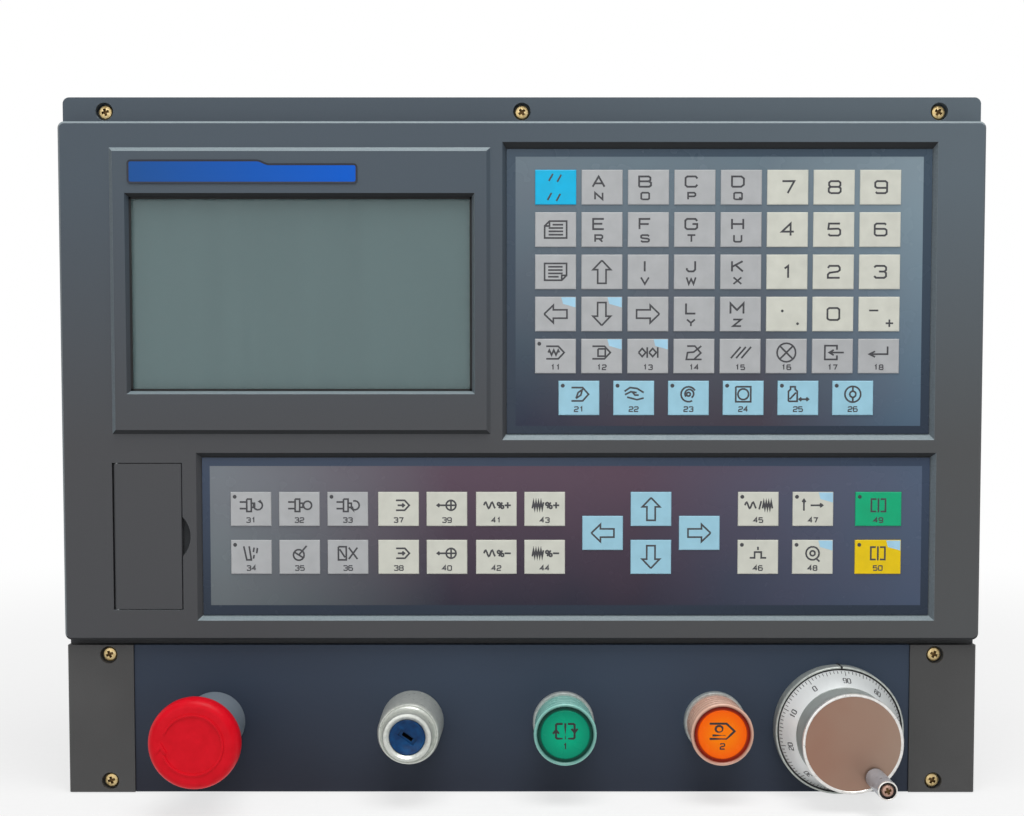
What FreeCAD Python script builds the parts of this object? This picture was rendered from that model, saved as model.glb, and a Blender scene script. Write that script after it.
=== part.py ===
"""Operator panel of a CNC turning lathe: display unit with two keypads, and the switch panel under it.

Millimetres, +Z up. The face that seats on the cabinet is the plane Y = 0, and the operator stands on the
-Y side. "Depth" below means the distance in front of that plane, so a depth of 10 is Y = -10.
The origin is the middle of the seating plane, level with the middle of the whole panel.
"""

import FreeCAD, Part
import math
import os
import re

import Sketcher

FRONT = "XZ_Plane"  # a sketch here is seen as the operator sees the panel, and its normal points at the operator
LEVEL = "XY_Plane"
SIDE = "YZ_Plane"

SIZES = [
    # main unit
    ("panel_width", 420.0, "width of both panels"),
    ("panel_top", 160.0, "height of the upper edge above the origin"),
    ("strip_height", 12.4, "screw strip that shows above the moulded front"),
    ("lower_strip", 11.5, "screw strip that the switch panel covers"),
    ("strip_depth", 6.0, "thickness of both screw strips"),
    ("bezel_height", 235.9, "height of the raised moulding"),
    ("bezel_depth", 15.4, "depth of its main face"),
    ("bezel_wall", 3.0, "wall of the moulding"),
    ("corner_radius", 3.0, "rounded corners of the moulding"),
    ("edge_bevel", 1.0, "bevel round the main face"),
    # display
    ("display_x", -100.5, "centre of the display"),
    ("display_z", 69.8, "centre of the window"),
    ("frame_width", 172.5, "raised frame round the display"),
    ("frame_height", 129.4, "its height"),
    ("frame_lift", 1.25, "frame centre above window centre"),
    ("frame_rise", 1.8, "how far the frame stands proud"),
    ("window_width", 158.3, "window at the frame's face"),
    ("window_height", 90.6, "its height"),
    ("window_bevel", 1.5, "bevel of the window's walls"),
    ("window_sunk", 3.0, "depth of the window below the frame"),
    ("module_width", 165.0, "display module and its window plate"),
    ("module_height", 100.0, "their height"),
    ("module_thick", 5.7, "display module"),
    ("glass_thick", 2.0, "window plate"),
    ("screen_side_border", 3.7, "module's frame beside its glass cell"),
    ("screen_border", 4.2, "module's frame above and below its glass cell"),
    ("screen_thick", 3.9, "its thickness"),
    ("clamp_width", 20.0, "strap behind the display module"),
    ("clamp_thick", 1.2, "its sheet"),
    ("clamp_spread", 100.0, "between the two straps"),
    # badge plate, bare
    ("badge_left", -178.2, "left end"),
    ("badge_top", 130.0, "upper edge"),
    ("badge_width", 104.0, "length"),
    ("badge_height", 10.7, "height of its left part"),
    ("badge_step", 1.7, "how much lower its right part is"),
    ("badge_step_from", 60.1, "where the step starts"),
    ("badge_step_run", 2.7, "length of the sloping step"),
    ("badge_thick", 0.5, "thickness"),
    # keypads
    ("recess_depth", 3.0, "depth of the keypad recesses"),
    ("ledge", 6.0, "ledge that a keypad film is bonded to"),
    ("film_thick", 0.5, "keypad film"),
    ("film_gap", 0.2, "gap round a keypad film"),
    ("key_rise", 0.5, "embossed height of a key"),
    ("key_taper", 40.0, "slope of its sides"),
    ("key_width", 18.7, "key"),
    ("key_height", 15.7, "key"),
    ("wide_key", 21.2, "cycle key"),
    ("board_thick", 1.6, "printed circuit boards"),
    ("board_margin", 5.0, "keypad board beyond its opening"),
    ("switch_size", 6.0, "row of push switches under the keys"),
    ("data_x", 89.7, "centre of the data keypad"),
    ("data_z", 70.9, "its height"),
    ("data_width", 197.1, "its recess at the main face"),
    ("data_height", 134.6, "recess height"),
    ("data_slope_x", 1.7, "side slope of its recess"),
    ("data_slope_z", 2.5, "top and bottom slope of its recess"),
    ("data_keys_x", 15.35, "first column"),
    ("data_keys_z", 118.25, "first row"),
    ("data_pitch_x", 21.07, "column pitch"),
    ("data_pitch_z", 19.1, "row pitch"),
    ("mode_keys_x", 26.1, "first key of the lowest row"),
    ("mode_pitch", 25.03, "its pitch"),
    ("machine_x", 20.2, "centre of the machine keypad"),
    ("machine_z", -40.8, "its height"),
    ("machine_width", 338.2, "its recess at the main face"),
    ("machine_height", 77.0, "recess height"),
    ("machine_slope", 2.0, "slope of its recess"),
    ("machine_keys_z", -28.1, "upper row"),
    ("machine_pitch_z", 22.1, "row pitch"),
    ("spindle_keys_x", -124.3, "first column of the spindle keys"),
    ("zero_keys_x", -56.6, "first column of the zero keys"),
    ("override_keys_x", -11.7, "first column of the override keys"),
    ("arrow_keys_x", 59.3, "centre of the arrow keys"),
    ("feed_keys_x", 108.5, "first column of the feed keys"),
    ("cycle_keys_x", 163.6, "the two cycle keys"),
    ("machine_pitch_x", 22.2, "column pitch"),
    ("feed_pitch", 25.1, "column pitch of the feed keys"),
    # port door
    ("door_left", -187.3, "left side of the door's opening"),
    ("door_top", -6.9, "upper edge of the opening"),
    ("opening_width", 32.0, "door opening"),
    ("opening_height", 67.5, "door opening"),
    ("door_gap", 0.35, "gap round the door"),
    ("door_thick", 2.8, "door"),
    ("door_seat", 0.2, "door above the ledge it shuts on"),
    ("pocket_ledge", 3.0, "ledge round the pocket behind the door"),
    ("pocket_floor", -9.0, "depth of the pocket's floor"),
    ("notch_height", 18.0, "finger notch"),
    ("notch_width", 3.6, "how far the notch reaches"),
    ("notch_depth", 2.2, "its depth"),
    ("hinge_pin", 0.75, "radius of the door's pin"),
    ("pin_grip", 2.5, "length of the pin in the moulding, each end"),
    ("socket_width", 12.5, "flange of the sockets"),
    ("socket_length", 30.8, "flange of the port socket"),
    ("socket_flange", 1.0, "thickness of a socket's flange"),
    ("socket_nose", 8.3, "width of a socket's shell"),
    ("port_nose", 5.8, "how far the port socket's shell stands up"),
    # housing behind the panel
    ("housing_width", 400.0, "sheet-metal box"),
    ("housing_top", 141.0, "its upper side"),
    ("housing_bottom", -82.0, "its lower side"),
    ("housing_back", 82.0, "how far it reaches behind the seating plane"),
    ("housing_front", 6.2, "depth of its front flange"),
    ("sheet", 1.2, "its sheet"),
    ("front_flange", 5.5, "flange turned outwards"),
    ("rear_flange", 11.0, "flange turned inwards"),
    ("boss_size", 7.5, "square screw bosses of the moulding"),
    ("rib_thick", 1.6, "ribs of the moulding"),
    ("rib_depth", 4.0, "ribs of the moulding"),
    ("vent_length", 60.0, "ventilation slots"),
    ("vent_width", 3.0, "ventilation slots"),
    ("vent_pitch", 8.0, "ventilation slots"),
    ("vent_x", 105.0, "centre of each group of slots"),
    ("vent_z", 85.0, "centre of each group of slots"),
    ("vent_count", 8.0, "slots in a group"),
    ("main_board_width", 330.0, "main board"),
    ("main_board_height", 170.0, "main board"),
    ("main_board_z", 25.0, "its centre"),
    ("standoff_length", 24.0, "hexagonal pillars under the main board"),
    ("standoff_across", 6.0, "across their flats"),
    ("standoff_inset", 8.0, "from the board's edges"),
    ("processor_x", -60.0, "processor on the main board"),
    ("processor_z", 60.0, "its height"),
    ("processor_width", 28.0, "processor"),
    ("processor_rise", 3.4, "processor"),
    ("converter_x", 90.0, "voltage converter on the main board"),
    ("converter_length", 60.0, "converter"),
    ("converter_height", 24.0, "converter"),
    ("converter_rise", 15.0, "converter"),
    ("header_x", -20.0, "plug header on the main board"),
    ("header_z", 5.0, "its height"),
    ("header_length", 70.0, "header"),
    ("header_height", 12.0, "header"),
    ("header_rise", 10.0, "header"),
    ("drive_socket_length", 39.2, "sockets for the drives"),
    ("drive_socket_z", -36.0, "their height"),
    ("drive_socket_pitch", 58.0, "between them"),
    ("drive_socket_count", 4.0, "how many"),
    ("drive_socket_x", -110.0, "first one"),
    ("shell_proud", 6.0, "how far they stand out of the cover"),
    ("cut_gap", 0.5, "gap round a socket in the cover"),
    ("terminal_inset", 20.0, "supply terminal block, from the board's end"),
    ("terminal_length", 42.0, "its length"),
    ("terminal_height", 16.0, "its height"),
    # fixing holes
    ("screw_hole", 2.1, "radius of the holes for the fixing screws"),
    ("screw_inset", 19.0, "outer screws from the panel's ends"),
    ("upper_screw_drop", 6.4, "upper screws below the upper edge"),
    ("lower_screw_inset", 5.2, "lowest screws above the lower edge"),
    ("lower_screw_rise", 59.0, "between the two lower rows"),
    ("slot_width", 4.4, "open slots in the covered strip"),
    # switch panel
    ("lower_gap", 2.9, "between the moulding and the switch panel"),
    ("lower_height", 68.8, "switch panel"),
    ("cap_depth", 11.5, "depth of the end caps' faces"),
    ("cap_width", 30.5, "end caps"),
    ("cap_step", 0.8, "end caps stand this proud of the metal"),
    ("cap_bevel", 0.8, "bevel of the end caps"),
    ("cap_tongue", 8.0, "tongue that plugs into the metal channel"),
    ("cap_play", 0.2, "play of the tongue"),
    ("plate_thick", 2.5, "front of the metal channel"),
    ("lip_thick", 2.0, "its upper and lower sides"),
    ("rib_spread", 54.0, "between its two ribs"),
    ("device_hole", 11.2, "radius of the holes for the switches"),
    ("device_z", -127.1, "row of the switches"),
    ("switch_pitch", 70.0, "between the two buttons, and from them to the key switch"),
    # what the four switches share
    ("block_width", 30.0, "contact block"),
    ("block_height", 40.0, "contact block"),
    ("block_depth", 35.0, "contact block, from the back of the panel"),
    ("neck_width", 15.4, "square neck of the block, through the panel"),
    ("running_fit", 0.05, "radial clearance of what slides or turns"),
    ("rod_width", 6.0, "square push rod"),
    ("rod_back", 8.0, "how far a rod reaches behind the seating plane"),
    ("body_floor", 2.5, "floor of a switch body"),
    # emergency stop
    ("estop_from_cap", 37.3, "its axis from the left end cap"),
    ("collar_radius", 13.9, "fixed collar"),
    ("collar_front", 45.0, "its depth"),
    ("shank_radius", 8.5, "shank of the mushroom"),
    ("shank_back", 19.0, "depth of the shank's end"),
    ("rod_entry", 6.0, "how far the push rod enters the shank"),
    ("estop_travel", 5.0, "how far the mushroom is pushed"),
    ("mushroom_radius", 20.0, "mushroom head"),
    ("mushroom_back", 51.5, "its depth at the back"),
    ("mushroom_shoulder", 56.5, "depth where its bevel starts"),
    ("mushroom_front", 61.5, "its depth at the front"),
    ("mushroom_bevel", 3.6, "how far the bevel round its face reaches in"),
    # key switch
    ("key_body_radius", 14.5, "body"),
    ("key_shoulder", 38.5, "depth of its shoulder"),
    ("key_neck_radius", 10.8, "neck"),
    ("key_front", 46.5, "depth of its lip"),
    ("rotor_radius", 7.95, "rotor"),
    ("rotor_sunk", 1.0, "rotor below the lip"),
    ("rotor_play", 0.4, "room beside the rotor's square tail"),
    ("keyway_length", 7.5, "key slot"),
    ("keyway_width", 1.9, "key slot"),
    ("keyway_depth", 14.0, "key slot"),
    ("keyway_turn", 55.0, "tilt of the key slot, from upright towards the left"),
    # illuminated push buttons
    ("hold_from_wheel", 56.2, "hold button's axis from the handwheel's"),
    ("ring_radius", 14.2, "button ring"),
    ("ring_front", 40.0, "depth of the ring's front"),
    ("lens_radius", 12.2, "lens"),
    ("lens_sunk", 1.0, "lens below the ring"),
    ("lens_thick", 4.0, "lens"),
    ("tube_width", 12.0, "square push tube of the lens"),
    ("tube_hollow", 9.0, "inside the tube"),
    ("button_travel", 3.0, "how far a button is pushed"),
    ("button_room", 0.8, "room left behind a pushed button"),
    ("lamp_width", 6.8, "lamp in the tube"),
    ("lamp_length", 24.0, "lamp in the tube"),
    # handwheel
    ("wheel_from_cap", 34.0, "its axis from the right end cap"),
    ("wheel_z", -129.3, "its height"),
    ("base_radius", 29.4, "fixed ring"),
    ("base_front", 19.2, "its depth"),
    ("encoder_width", 30.0, "square encoder housing behind the ring"),
    ("encoder_back", 26.0, "how far it reaches behind the seating plane"),
    ("hole_play", 0.35, "panel hole round the corners of a square housing"),
    ("spindle_radius", 3.0, "spindle"),
    ("spindle_back", 20.0, "how far it reaches behind the seating plane"),
    ("dial_radius", 27.8, "graduated dial"),
    ("dial_gap", 0.3, "between the dial and the fixed ring"),
    ("dial_rim", 20.6, "depth where the dial's sloping face starts"),
    ("dial_front", 30.5, "depth where it meets the knob"),
    ("knob_radius", 22.3, "knob"),
    ("knob_front", 49.2, "depth of its front"),
    ("crank_radius", 17.5, "crank pin from the wheel's axis"),
    ("crank_angle", -57.0, "crank pin's angle, from the right, anticlockwise"),
    ("crank_pin", 2.0, "radius of the crank pin"),
    ("crank_pin_head", 2.9, "radius of its head"),
    ("crank_head_thick", 1.5, "thickness of its head"),
    ("crank_thread", 6.0, "its length in the knob"),
    ("grip_radius", 4.3, "radius of the grip"),
    ("grip_front", 72.1, "depth of its end"),
    ("grip_gap", 0.5, "between the grip and its neighbours"),
]

document = FreeCAD.newDocument("lathe_operator_panel")
sheet = document.addObject("Spreadsheet::Sheet", "Sizes")
for line, (alias, size, meaning) in enumerate(SIZES, start=1):
    sheet.set(f"A{line}", meaning)
    sheet.set(f"B{line}", str(size))
    sheet.setAlias(f"B{line}", alias)
document.recompute()

# Places that follow from the sizes, as expressions on the sheet
HALF_WIDTH = "panel_width / 2"
BEZEL_TOP = "(panel_top - strip_height)"
BEZEL_BOTTOM = "(panel_top - strip_height - bezel_height)"
UNIT_BOTTOM = "(panel_top - strip_height - bezel_height - lower_strip)"
FRAME_FRONT = "(bezel_depth + frame_rise)"
WINDOW_FRONT = "(bezel_depth + frame_rise - window_sunk)"
MODULE_FRONT = "(bezel_depth + frame_rise - window_sunk - glass_thick - film_gap)"
SURROUND_BACK = f"({MODULE_FRONT} - module_thick)"
SKIN_BACK = "(bezel_depth - bezel_wall)"
RECESS_FLOOR = "(bezel_depth - recess_depth)"
FLOOR_BACK = "(bezel_depth - recess_depth - bezel_wall)"
LOWER_TOP = f"({BEZEL_BOTTOM} - lower_gap)"
LOWER_BOTTOM = f"({BEZEL_BOTTOM} - lower_gap - lower_height)"
PLATE_FRONT = "(cap_depth - cap_step)"
PLATE_BACK = "(cap_depth - cap_step - plate_thick)"
SCREW_X = "(panel_width / 2 - screw_inset)"
UPPER_SCREWS_Z = "(panel_top - upper_screw_drop)"
LOWEST_SCREWS_Z = f"({LOWER_BOTTOM} + lower_screw_inset)"
MIDDLE_SCREWS_Z = f"({LOWER_BOTTOM} + lower_screw_inset + lower_screw_rise)"
DOOR_RIGHT = "(door_left + opening_width)"
DOOR_BOTTOM = "(door_top - opening_height)"
DOOR_AXIS_X = "(door_left + door_gap * 1.2 + door_thick / 2)"
DOOR_AXIS_DEPTH = "(bezel_depth - door_thick / 2)"
POCKET_RIM = "(bezel_depth - door_thick - door_seat)"
LOWER_MIDDLE = f"(({LOWER_TOP} + {LOWER_BOTTOM}) / 2)"
ESTOP_X = "(cap_width + estop_from_cap - panel_width / 2)"
WHEEL_X = "(panel_width / 2 - cap_width - wheel_from_cap)"
HOLD_X = f"({WHEEL_X} - hold_from_wheel)"
START_X = f"({HOLD_X} - switch_pitch)"
KEY_SWITCH_X = f"({START_X} - switch_pitch)"
CRANK_X = f"({WHEEL_X} + crank_radius * cos(crank_angle * 1deg))"
CRANK_Z = "(wheel_z + crank_radius * sin(crank_angle * 1deg))"

ALIASES = {alias for alias, _, _ in SIZES}


def named(expression):
    """The expression with every size written as a cell of the sheet."""
    return re.sub(r"[a-z]+(?:_[a-z]+)*", lambda m: f"Sizes.{m[0]}" if m[0] in ALIASES else m[0], expression)


def value(expression):
    """What the expression comes to, in millimetres or degrees."""
    result = sheet.evalExpression(named(expression))
    return float(getattr(result, "Value", result))


def new_body(label):
    body = document.addObject("PartDesign::Body", label)
    body.Label = label
    return body


def sketch_on(body, plane, level="0", across="0", along="0"):
    """A sketch on one of the body's own planes, moved along its normal to a level."""
    sketch = body.newObject("Sketcher::SketchObject", f"{body.Name}_sketch")
    sketch.AttachmentSupport = [(part, "") for part in body.Origin.OriginFeatures if part.Role == plane]
    sketch.MapMode = "FlatFace"
    for axis, place in (("x", across), ("y", along), ("z", level)):
        sketch.setExpression(f".AttachmentOffset.Base.{axis}", named(place))
    return sketch


def hold_point(sketch, line, end, across, up):
    """Ties one point of the sketch to its place."""
    for kind, place in (("DistanceX", across), ("DistanceY", up)):
        number = sketch.addConstraint(Sketcher.Constraint(kind, -1, 1, line, end, value(place)))
        sketch.setExpression(f"Constraints[{number}]", named(place))


def outline(sketch, corners):
    """A closed outline of straight lines through the corners."""
    points = [FreeCAD.Vector(value(across), value(up), 0) for across, up in corners]
    first, count = sketch.GeometryCount, len(points)
    for number in range(count):
        sketch.addGeometry(Part.LineSegment(points[number], points[(number + 1) % count]), False)
    for number, (across, up) in enumerate(corners):
        following = first + (number + 1) % count
        sketch.addConstraint(Sketcher.Constraint("Coincident", first + number, 2, following, 1))
        hold_point(sketch, first + number, 1, across, up)
    return sketch


def rectangle(sketch, centre_x, centre_z, width, height):
    """A rectangle about a centre."""
    left, right = f"{centre_x} - ({width}) / 2", f"{centre_x} + ({width}) / 2"
    low, high = f"{centre_z} - ({height}) / 2", f"{centre_z} + ({height}) / 2"
    return outline(sketch, [(left, low), (right, low), (right, high), (left, high)])


def circle(sketch, centre_x, centre_z, radius):
    centre = FreeCAD.Vector(value(centre_x), value(centre_z), 0)
    number = sketch.addGeometry(Part.Circle(centre, FreeCAD.Vector(0, 0, 1), value(radius)), False)
    hold_point(sketch, number, 3, centre_x, centre_z)
    limit = sketch.addConstraint(Sketcher.Constraint("Radius", number, value(radius)))
    sketch.setExpression(f"Constraints[{limit}]", named(radius))
    return sketch


def hexagon(sketch, centre_x, centre_z, across_flats):
    """A hexagon about a centre."""
    reach = f"({across_flats}) / 2 / cos(30deg)"
    corners = [
        (f"{centre_x} + {reach} * cos({turn}deg)", f"{centre_z} + {reach} * sin({turn}deg)")
        for turn in range(30, 390, 60)
    ]
    return outline(sketch, corners)


def pad(sketch, length, taper=None):
    """Material from the sketch towards its normal."""
    feature = sketch.getParentGeoFeatureGroup().newObject("PartDesign::Pad", f"{sketch.Name}_pad")
    feature.Profile = sketch
    feature.setExpression("Length", named(length))
    if taper:
        feature.setExpression("TaperAngle", named(taper))
    return feature


def pocket(sketch, length, forwards=False):
    """A cut from the sketch against its normal, or with it where forwards is set."""
    feature = sketch.getParentGeoFeatureGroup().newObject("PartDesign::Pocket", f"{sketch.Name}_pocket")
    feature.Profile = sketch
    feature.Reversed = forwards
    feature.setExpression("Length", named(length))
    return feature


def sloping_cut(outer, inner):
    """A cut whose walls slope from one sketch to another."""
    feature = outer.getParentGeoFeatureGroup().newObject("PartDesign::SubtractiveLoft", f"{outer.Name}_loft")
    feature.Profile = outer
    feature.Sections = [inner]
    feature.Ruled = True
    return feature


def repeat(feature, sketch, columns, pitch_x, rows="1", pitch_z="1"):
    """Copies of a feature in a grid, to the right and downwards."""
    pattern = sketch.getParentGeoFeatureGroup().newObject("PartDesign::LinearPattern", f"{feature.Name}_grid")
    pattern.Originals = [feature]
    pattern.Direction, pattern.Direction2 = (sketch, ["H_Axis"]), (sketch, ["V_Axis"])
    pattern.Mode = pattern.Mode2 = "Extent"
    pattern.Reversed2 = True
    for ending, count, pitch in (("", columns, pitch_x), ("2", rows, pitch_z)):
        pattern.setExpression(f"Occurrences{ending}", named(count))
        pattern.setExpression(f"Length{ending}", named(f"(max({count}; 2) - 1) * ({pitch})"))
    sketch.getParentGeoFeatureGroup().Tip = pattern
    return pattern


def turned(label, centre_x, centre_z, profile):
    """A piece turned about an axis that points at the operator. The profile is (radius, depth) pairs."""
    body = new_body(label)
    sketch = sketch_on(body, LEVEL, level=centre_z, across=centre_x)
    outline(sketch, [(radius, f"-({depth})") for radius, depth in profile])
    feature = body.newObject("PartDesign::Revolution", f"{label}_turning")
    feature.Profile = sketch
    feature.ReferenceAxis = (sketch, ["V_Axis"])
    feature.Angle = 360
    return body


def edges_where(feature, test):
    """Names of the feature's edges that pass the test, which gets the edge's two ends and its middle."""
    document.recompute()
    names = []
    for number, edge in enumerate(feature.Shape.Edges, start=1):
        ends = [vertex.Point for vertex in edge.Vertexes]
        if len(ends) == 2 and test(ends[0], ends[1], edge.CenterOfMass):
            names.append(f"Edge{number}")
    return names


def near(first, second):
    return abs(first - second) < 1e-4


def round_edges(feature, radius, test):
    body = feature.getParentGeoFeatureGroup()
    names = edges_where(feature, test)
    fillet = body.newObject("PartDesign::Fillet", f"{feature.Name}_round")
    fillet.Base = (feature, names)
    fillet.setExpression("Radius", named(radius))
    return fillet


def bevel_edges(feature, size, test):
    body = feature.getParentGeoFeatureGroup()
    names = edges_where(feature, test)
    chamfer = body.newObject("PartDesign::Chamfer", f"{feature.Name}_bevel")
    chamfer.Base = (feature, names)
    chamfer.setExpression("Size", named(size))
    return chamfer


# ---------------------------------------------------------------- main unit

# The moulded front: screw strips above and below, a hollow block between them, a raised frame round the
# display, sunk beds for the two keypads, a seat for the display module and a pocket behind the port door.
bezel = new_body("front_bezel")
strips = rectangle(
    sketch_on(bezel, FRONT), "0", f"(panel_top + {UNIT_BOTTOM}) / 2", "panel_width", f"panel_top - {UNIT_BOTTOM}"
)
pad(strips, "strip_depth")
block = rectangle(
    sketch_on(bezel, FRONT, "strip_depth"),
    "0", f"({BEZEL_TOP} + {BEZEL_BOTTOM}) / 2", "panel_width", "bezel_height",
)
block_pad = pad(block, "bezel_depth - strip_depth")
half_width, bezel_top, bezel_bottom = value(HALF_WIDTH), value(BEZEL_TOP), value(BEZEL_BOTTOM)
corners = round_edges(
    block_pad,
    "corner_radius",
    lambda a, b, mid: near(a.x, b.x) and near(a.z, b.z) and near(abs(a.x), half_width)
    and (near(a.z, value("panel_top")) or (near(abs(a.z - b.z), 0) and mid.y < -value("strip_depth"))),
)
bevel_edges(corners, "edge_bevel", lambda a, b, mid: near(mid.y, -value("bezel_depth")))

raised = rectangle(
    sketch_on(bezel, FRONT, "bezel_depth"), "display_x", "(display_z + frame_lift)", "frame_width", "frame_height"
)
pad(raised, "frame_rise", taper="-45")

cavity = rectangle(
    sketch_on(bezel, FRONT),
    "0", f"({BEZEL_TOP} + {BEZEL_BOTTOM}) / 2", "panel_width - 2 * bezel_wall", "bezel_height - 2 * bezel_wall",
)
pocket(cavity, SKIN_BACK, forwards=True)


def stand_behind(centre_x, centre_z, width, height, back):
    """A block of the moulding behind its skin."""
    sketch = rectangle(sketch_on(bezel, FRONT, back), centre_x, centre_z, width, height)
    return pad(sketch, f"{SKIN_BACK} - ({back})")


stand_behind(
    "display_x", "display_z", "module_width + 2 * (bezel_wall + film_gap)",
    "module_height + 2 * (bezel_wall + film_gap)", SURROUND_BACK,
)
stand_behind("data_x", "data_z", "data_width", "data_height", FLOOR_BACK)
stand_behind("machine_x", "machine_z", "machine_width", "machine_height", FLOOR_BACK)
POCKET_X = "(door_left + opening_width / 2)"
POCKET_Z = "(door_top - opening_height / 2)"
stand_behind(
    POCKET_X, POCKET_Z, "opening_width + bezel_wall", "opening_height + bezel_wall", f"{POCKET_RIM} - bezel_wall"
)
stand_behind(
    POCKET_X, POCKET_Z, "opening_width - 2 * pocket_ledge + bezel_wall",
    "opening_height - 2 * pocket_ledge + bezel_wall", "pocket_floor - bezel_wall / 2",
)
BOSS_X = f"({HALF_WIDTH} - bezel_wall - boss_size / 2)"
BOSS_ROWS = [
    "(housing_top - 15)",
    "((housing_top + housing_bottom) / 2)",
    "(housing_bottom + 15)",
]
for side in ("-", ""):
    for row in BOSS_ROWS:
        stand_behind(f"{side}{BOSS_X}", row, "boss_size", "boss_size", "housing_front")
for row in (f"({BEZEL_TOP} - bezel_wall - 2 * rib_depth)", "((data_z - data_height / 2 + machine_z + machine_height / 2) / 2)"):
    stand_behind("0", row, "panel_width - 2 * bezel_wall - 2 * boss_size", "rib_thick", f"{SKIN_BACK} - rib_depth")

# Window, and behind it the seat that the window plate and the display module share
window_mouth = rectangle(
    sketch_on(bezel, FRONT, FRAME_FRONT), "display_x", "display_z", "window_width", "window_height"
)
window_foot = rectangle(
    sketch_on(bezel, FRONT, WINDOW_FRONT),
    "display_x", "display_z", "window_width - 2 * window_bevel", "window_height - 2 * window_bevel",
)
sloping_cut(window_mouth, window_foot)
module_seat = rectangle(
    sketch_on(bezel, FRONT, SURROUND_BACK),
    "display_x", "display_z", "module_width + 2 * film_gap", "module_height + 2 * film_gap",
)
pocket(module_seat, f"{WINDOW_FRONT} - {SURROUND_BACK}", forwards=True)

# Keypad beds: sloping walls down to a ledge, and an opening for the switches
for name, slope_x, slope_z in (("data", "data_slope_x", "data_slope_z"), ("machine", "machine_slope", "machine_slope")):
    bed = (f"{name}_x", f"{name}_z")
    bed_width, bed_height = f"({name}_width - 2 * {slope_x})", f"({name}_height - 2 * {slope_z})"
    mouth = rectangle(sketch_on(bezel, FRONT, "bezel_depth"), *bed, f"{name}_width", f"{name}_height")
    foot = rectangle(sketch_on(bezel, FRONT, RECESS_FLOOR), *bed, bed_width, bed_height)
    sloping_cut(mouth, foot)
    opening = rectangle(
        sketch_on(bezel, FRONT, RECESS_FLOOR), *bed, f"{bed_width} - 2 * ledge", f"{bed_height} - 2 * ledge"
    )
    pocket(opening, "bezel_wall")

# Port door opening, pocket, finger notch and the holes of the hinge pin
door_opening = rectangle(
    sketch_on(bezel, FRONT, "bezel_depth"), POCKET_X, POCKET_Z, "opening_width", "opening_height"
)
pocket(door_opening, f"bezel_depth - {POCKET_RIM}")
pocket_mouth = rectangle(
    sketch_on(bezel, FRONT, POCKET_RIM),
    POCKET_X, POCKET_Z, "opening_width - 2 * pocket_ledge", "opening_height - 2 * pocket_ledge",
)
pocket(pocket_mouth, f"{POCKET_RIM} - pocket_floor")
NOTCH_RADIUS = "((notch_height ^ 2 / 4 + notch_width ^ 2) / (2 * notch_width))"
notch = circle(
    sketch_on(bezel, FRONT, "bezel_depth"), f"{DOOR_RIGHT} + notch_width - {NOTCH_RADIUS}", POCKET_Z, NOTCH_RADIUS
)
pocket(notch, "notch_depth")
pin_hole = circle(
    sketch_on(bezel, LEVEL, f"{DOOR_BOTTOM} - pin_grip"), DOOR_AXIS_X, f"-{DOOR_AXIS_DEPTH}", "hinge_pin + running_fit"
)
pocket(pin_hole, "opening_height + 2 * pin_grip", forwards=True)

# Holes for the fixing screws in the upper strip, and open slots for them in the lower one
for place in (f"-{SCREW_X}", "0", SCREW_X):
    hole = circle(sketch_on(bezel, FRONT, "strip_depth"), place, UPPER_SCREWS_Z, "screw_hole")
    pocket(hole, "strip_depth")
for place in (f"-{SCREW_X}", SCREW_X):
    slot_height = f"({MIDDLE_SCREWS_Z} + slot_width / 2 - {UNIT_BOTTOM})"
    slot = rectangle(
        sketch_on(bezel, FRONT, "strip_depth"), place, f"({UNIT_BOTTOM} + {slot_height} / 2)", "slot_width", slot_height
    )
    pocket(slot, "strip_depth")


def plate(label, level, thickness, centre_x, centre_z, width, height):
    """A flat rectangular piece. Returns its body and its pad."""
    body = new_body(label)
    sketch = rectangle(sketch_on(body, FRONT, level), centre_x, centre_z, width, height)
    return body, pad(sketch, thickness)


# Badge plate on the display frame, with a sloping step in its upper edge. It carries no print.
badge = new_body("badge_plate")
BADGE_RIGHT, BADGE_LOW = "(badge_left + badge_width)", "(badge_top - badge_height)"
pad(
    outline(
        sketch_on(badge, FRONT, FRAME_FRONT),
        [
            ("badge_left", BADGE_LOW),
            (BADGE_RIGHT, BADGE_LOW),
            (BADGE_RIGHT, "badge_top - badge_step"),
            ("badge_left + badge_step_from + badge_step_run", "badge_top - badge_step"),
            ("badge_left + badge_step_from", "badge_top"),
            ("badge_left", "badge_top"),
        ],
    ),
    "badge_thick",
)

# Window plate, display module and the two straps that hold it in its seat
plate(
    "display_window", f"{WINDOW_FRONT} - glass_thick", "glass_thick",
    "display_x", "display_z", "module_width", "module_height",
)
module, _ = plate(
    "display_module_frame", SURROUND_BACK, "module_thick", "display_x", "display_z", "module_width", "module_height"
)
SCREEN_WIDTH, SCREEN_HEIGHT = "(module_width - 2 * screen_side_border)", "(module_height - 2 * screen_border)"
cell = rectangle(
    sketch_on(module, FRONT, MODULE_FRONT), "display_x", "display_z",
    f"{SCREEN_WIDTH} + 2 * film_gap", f"{SCREEN_HEIGHT} + 2 * film_gap",
)
pocket(cell, "screen_thick")
plate(
    "display_glass_cell", f"{MODULE_FRONT} - screen_thick", "screen_thick",
    "display_x", "display_z", SCREEN_WIDTH, SCREEN_HEIGHT,
)
straps, strap_pad = plate(
    "display_straps", f"{SURROUND_BACK} - clamp_thick", "clamp_thick",
    "(display_x - clamp_spread / 2)", "display_z", "clamp_width", "module_height + 2 * (bezel_wall + film_gap)",
)
repeat(strap_pad, strap_pad.Profile[0], "2", "clamp_spread")

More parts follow.
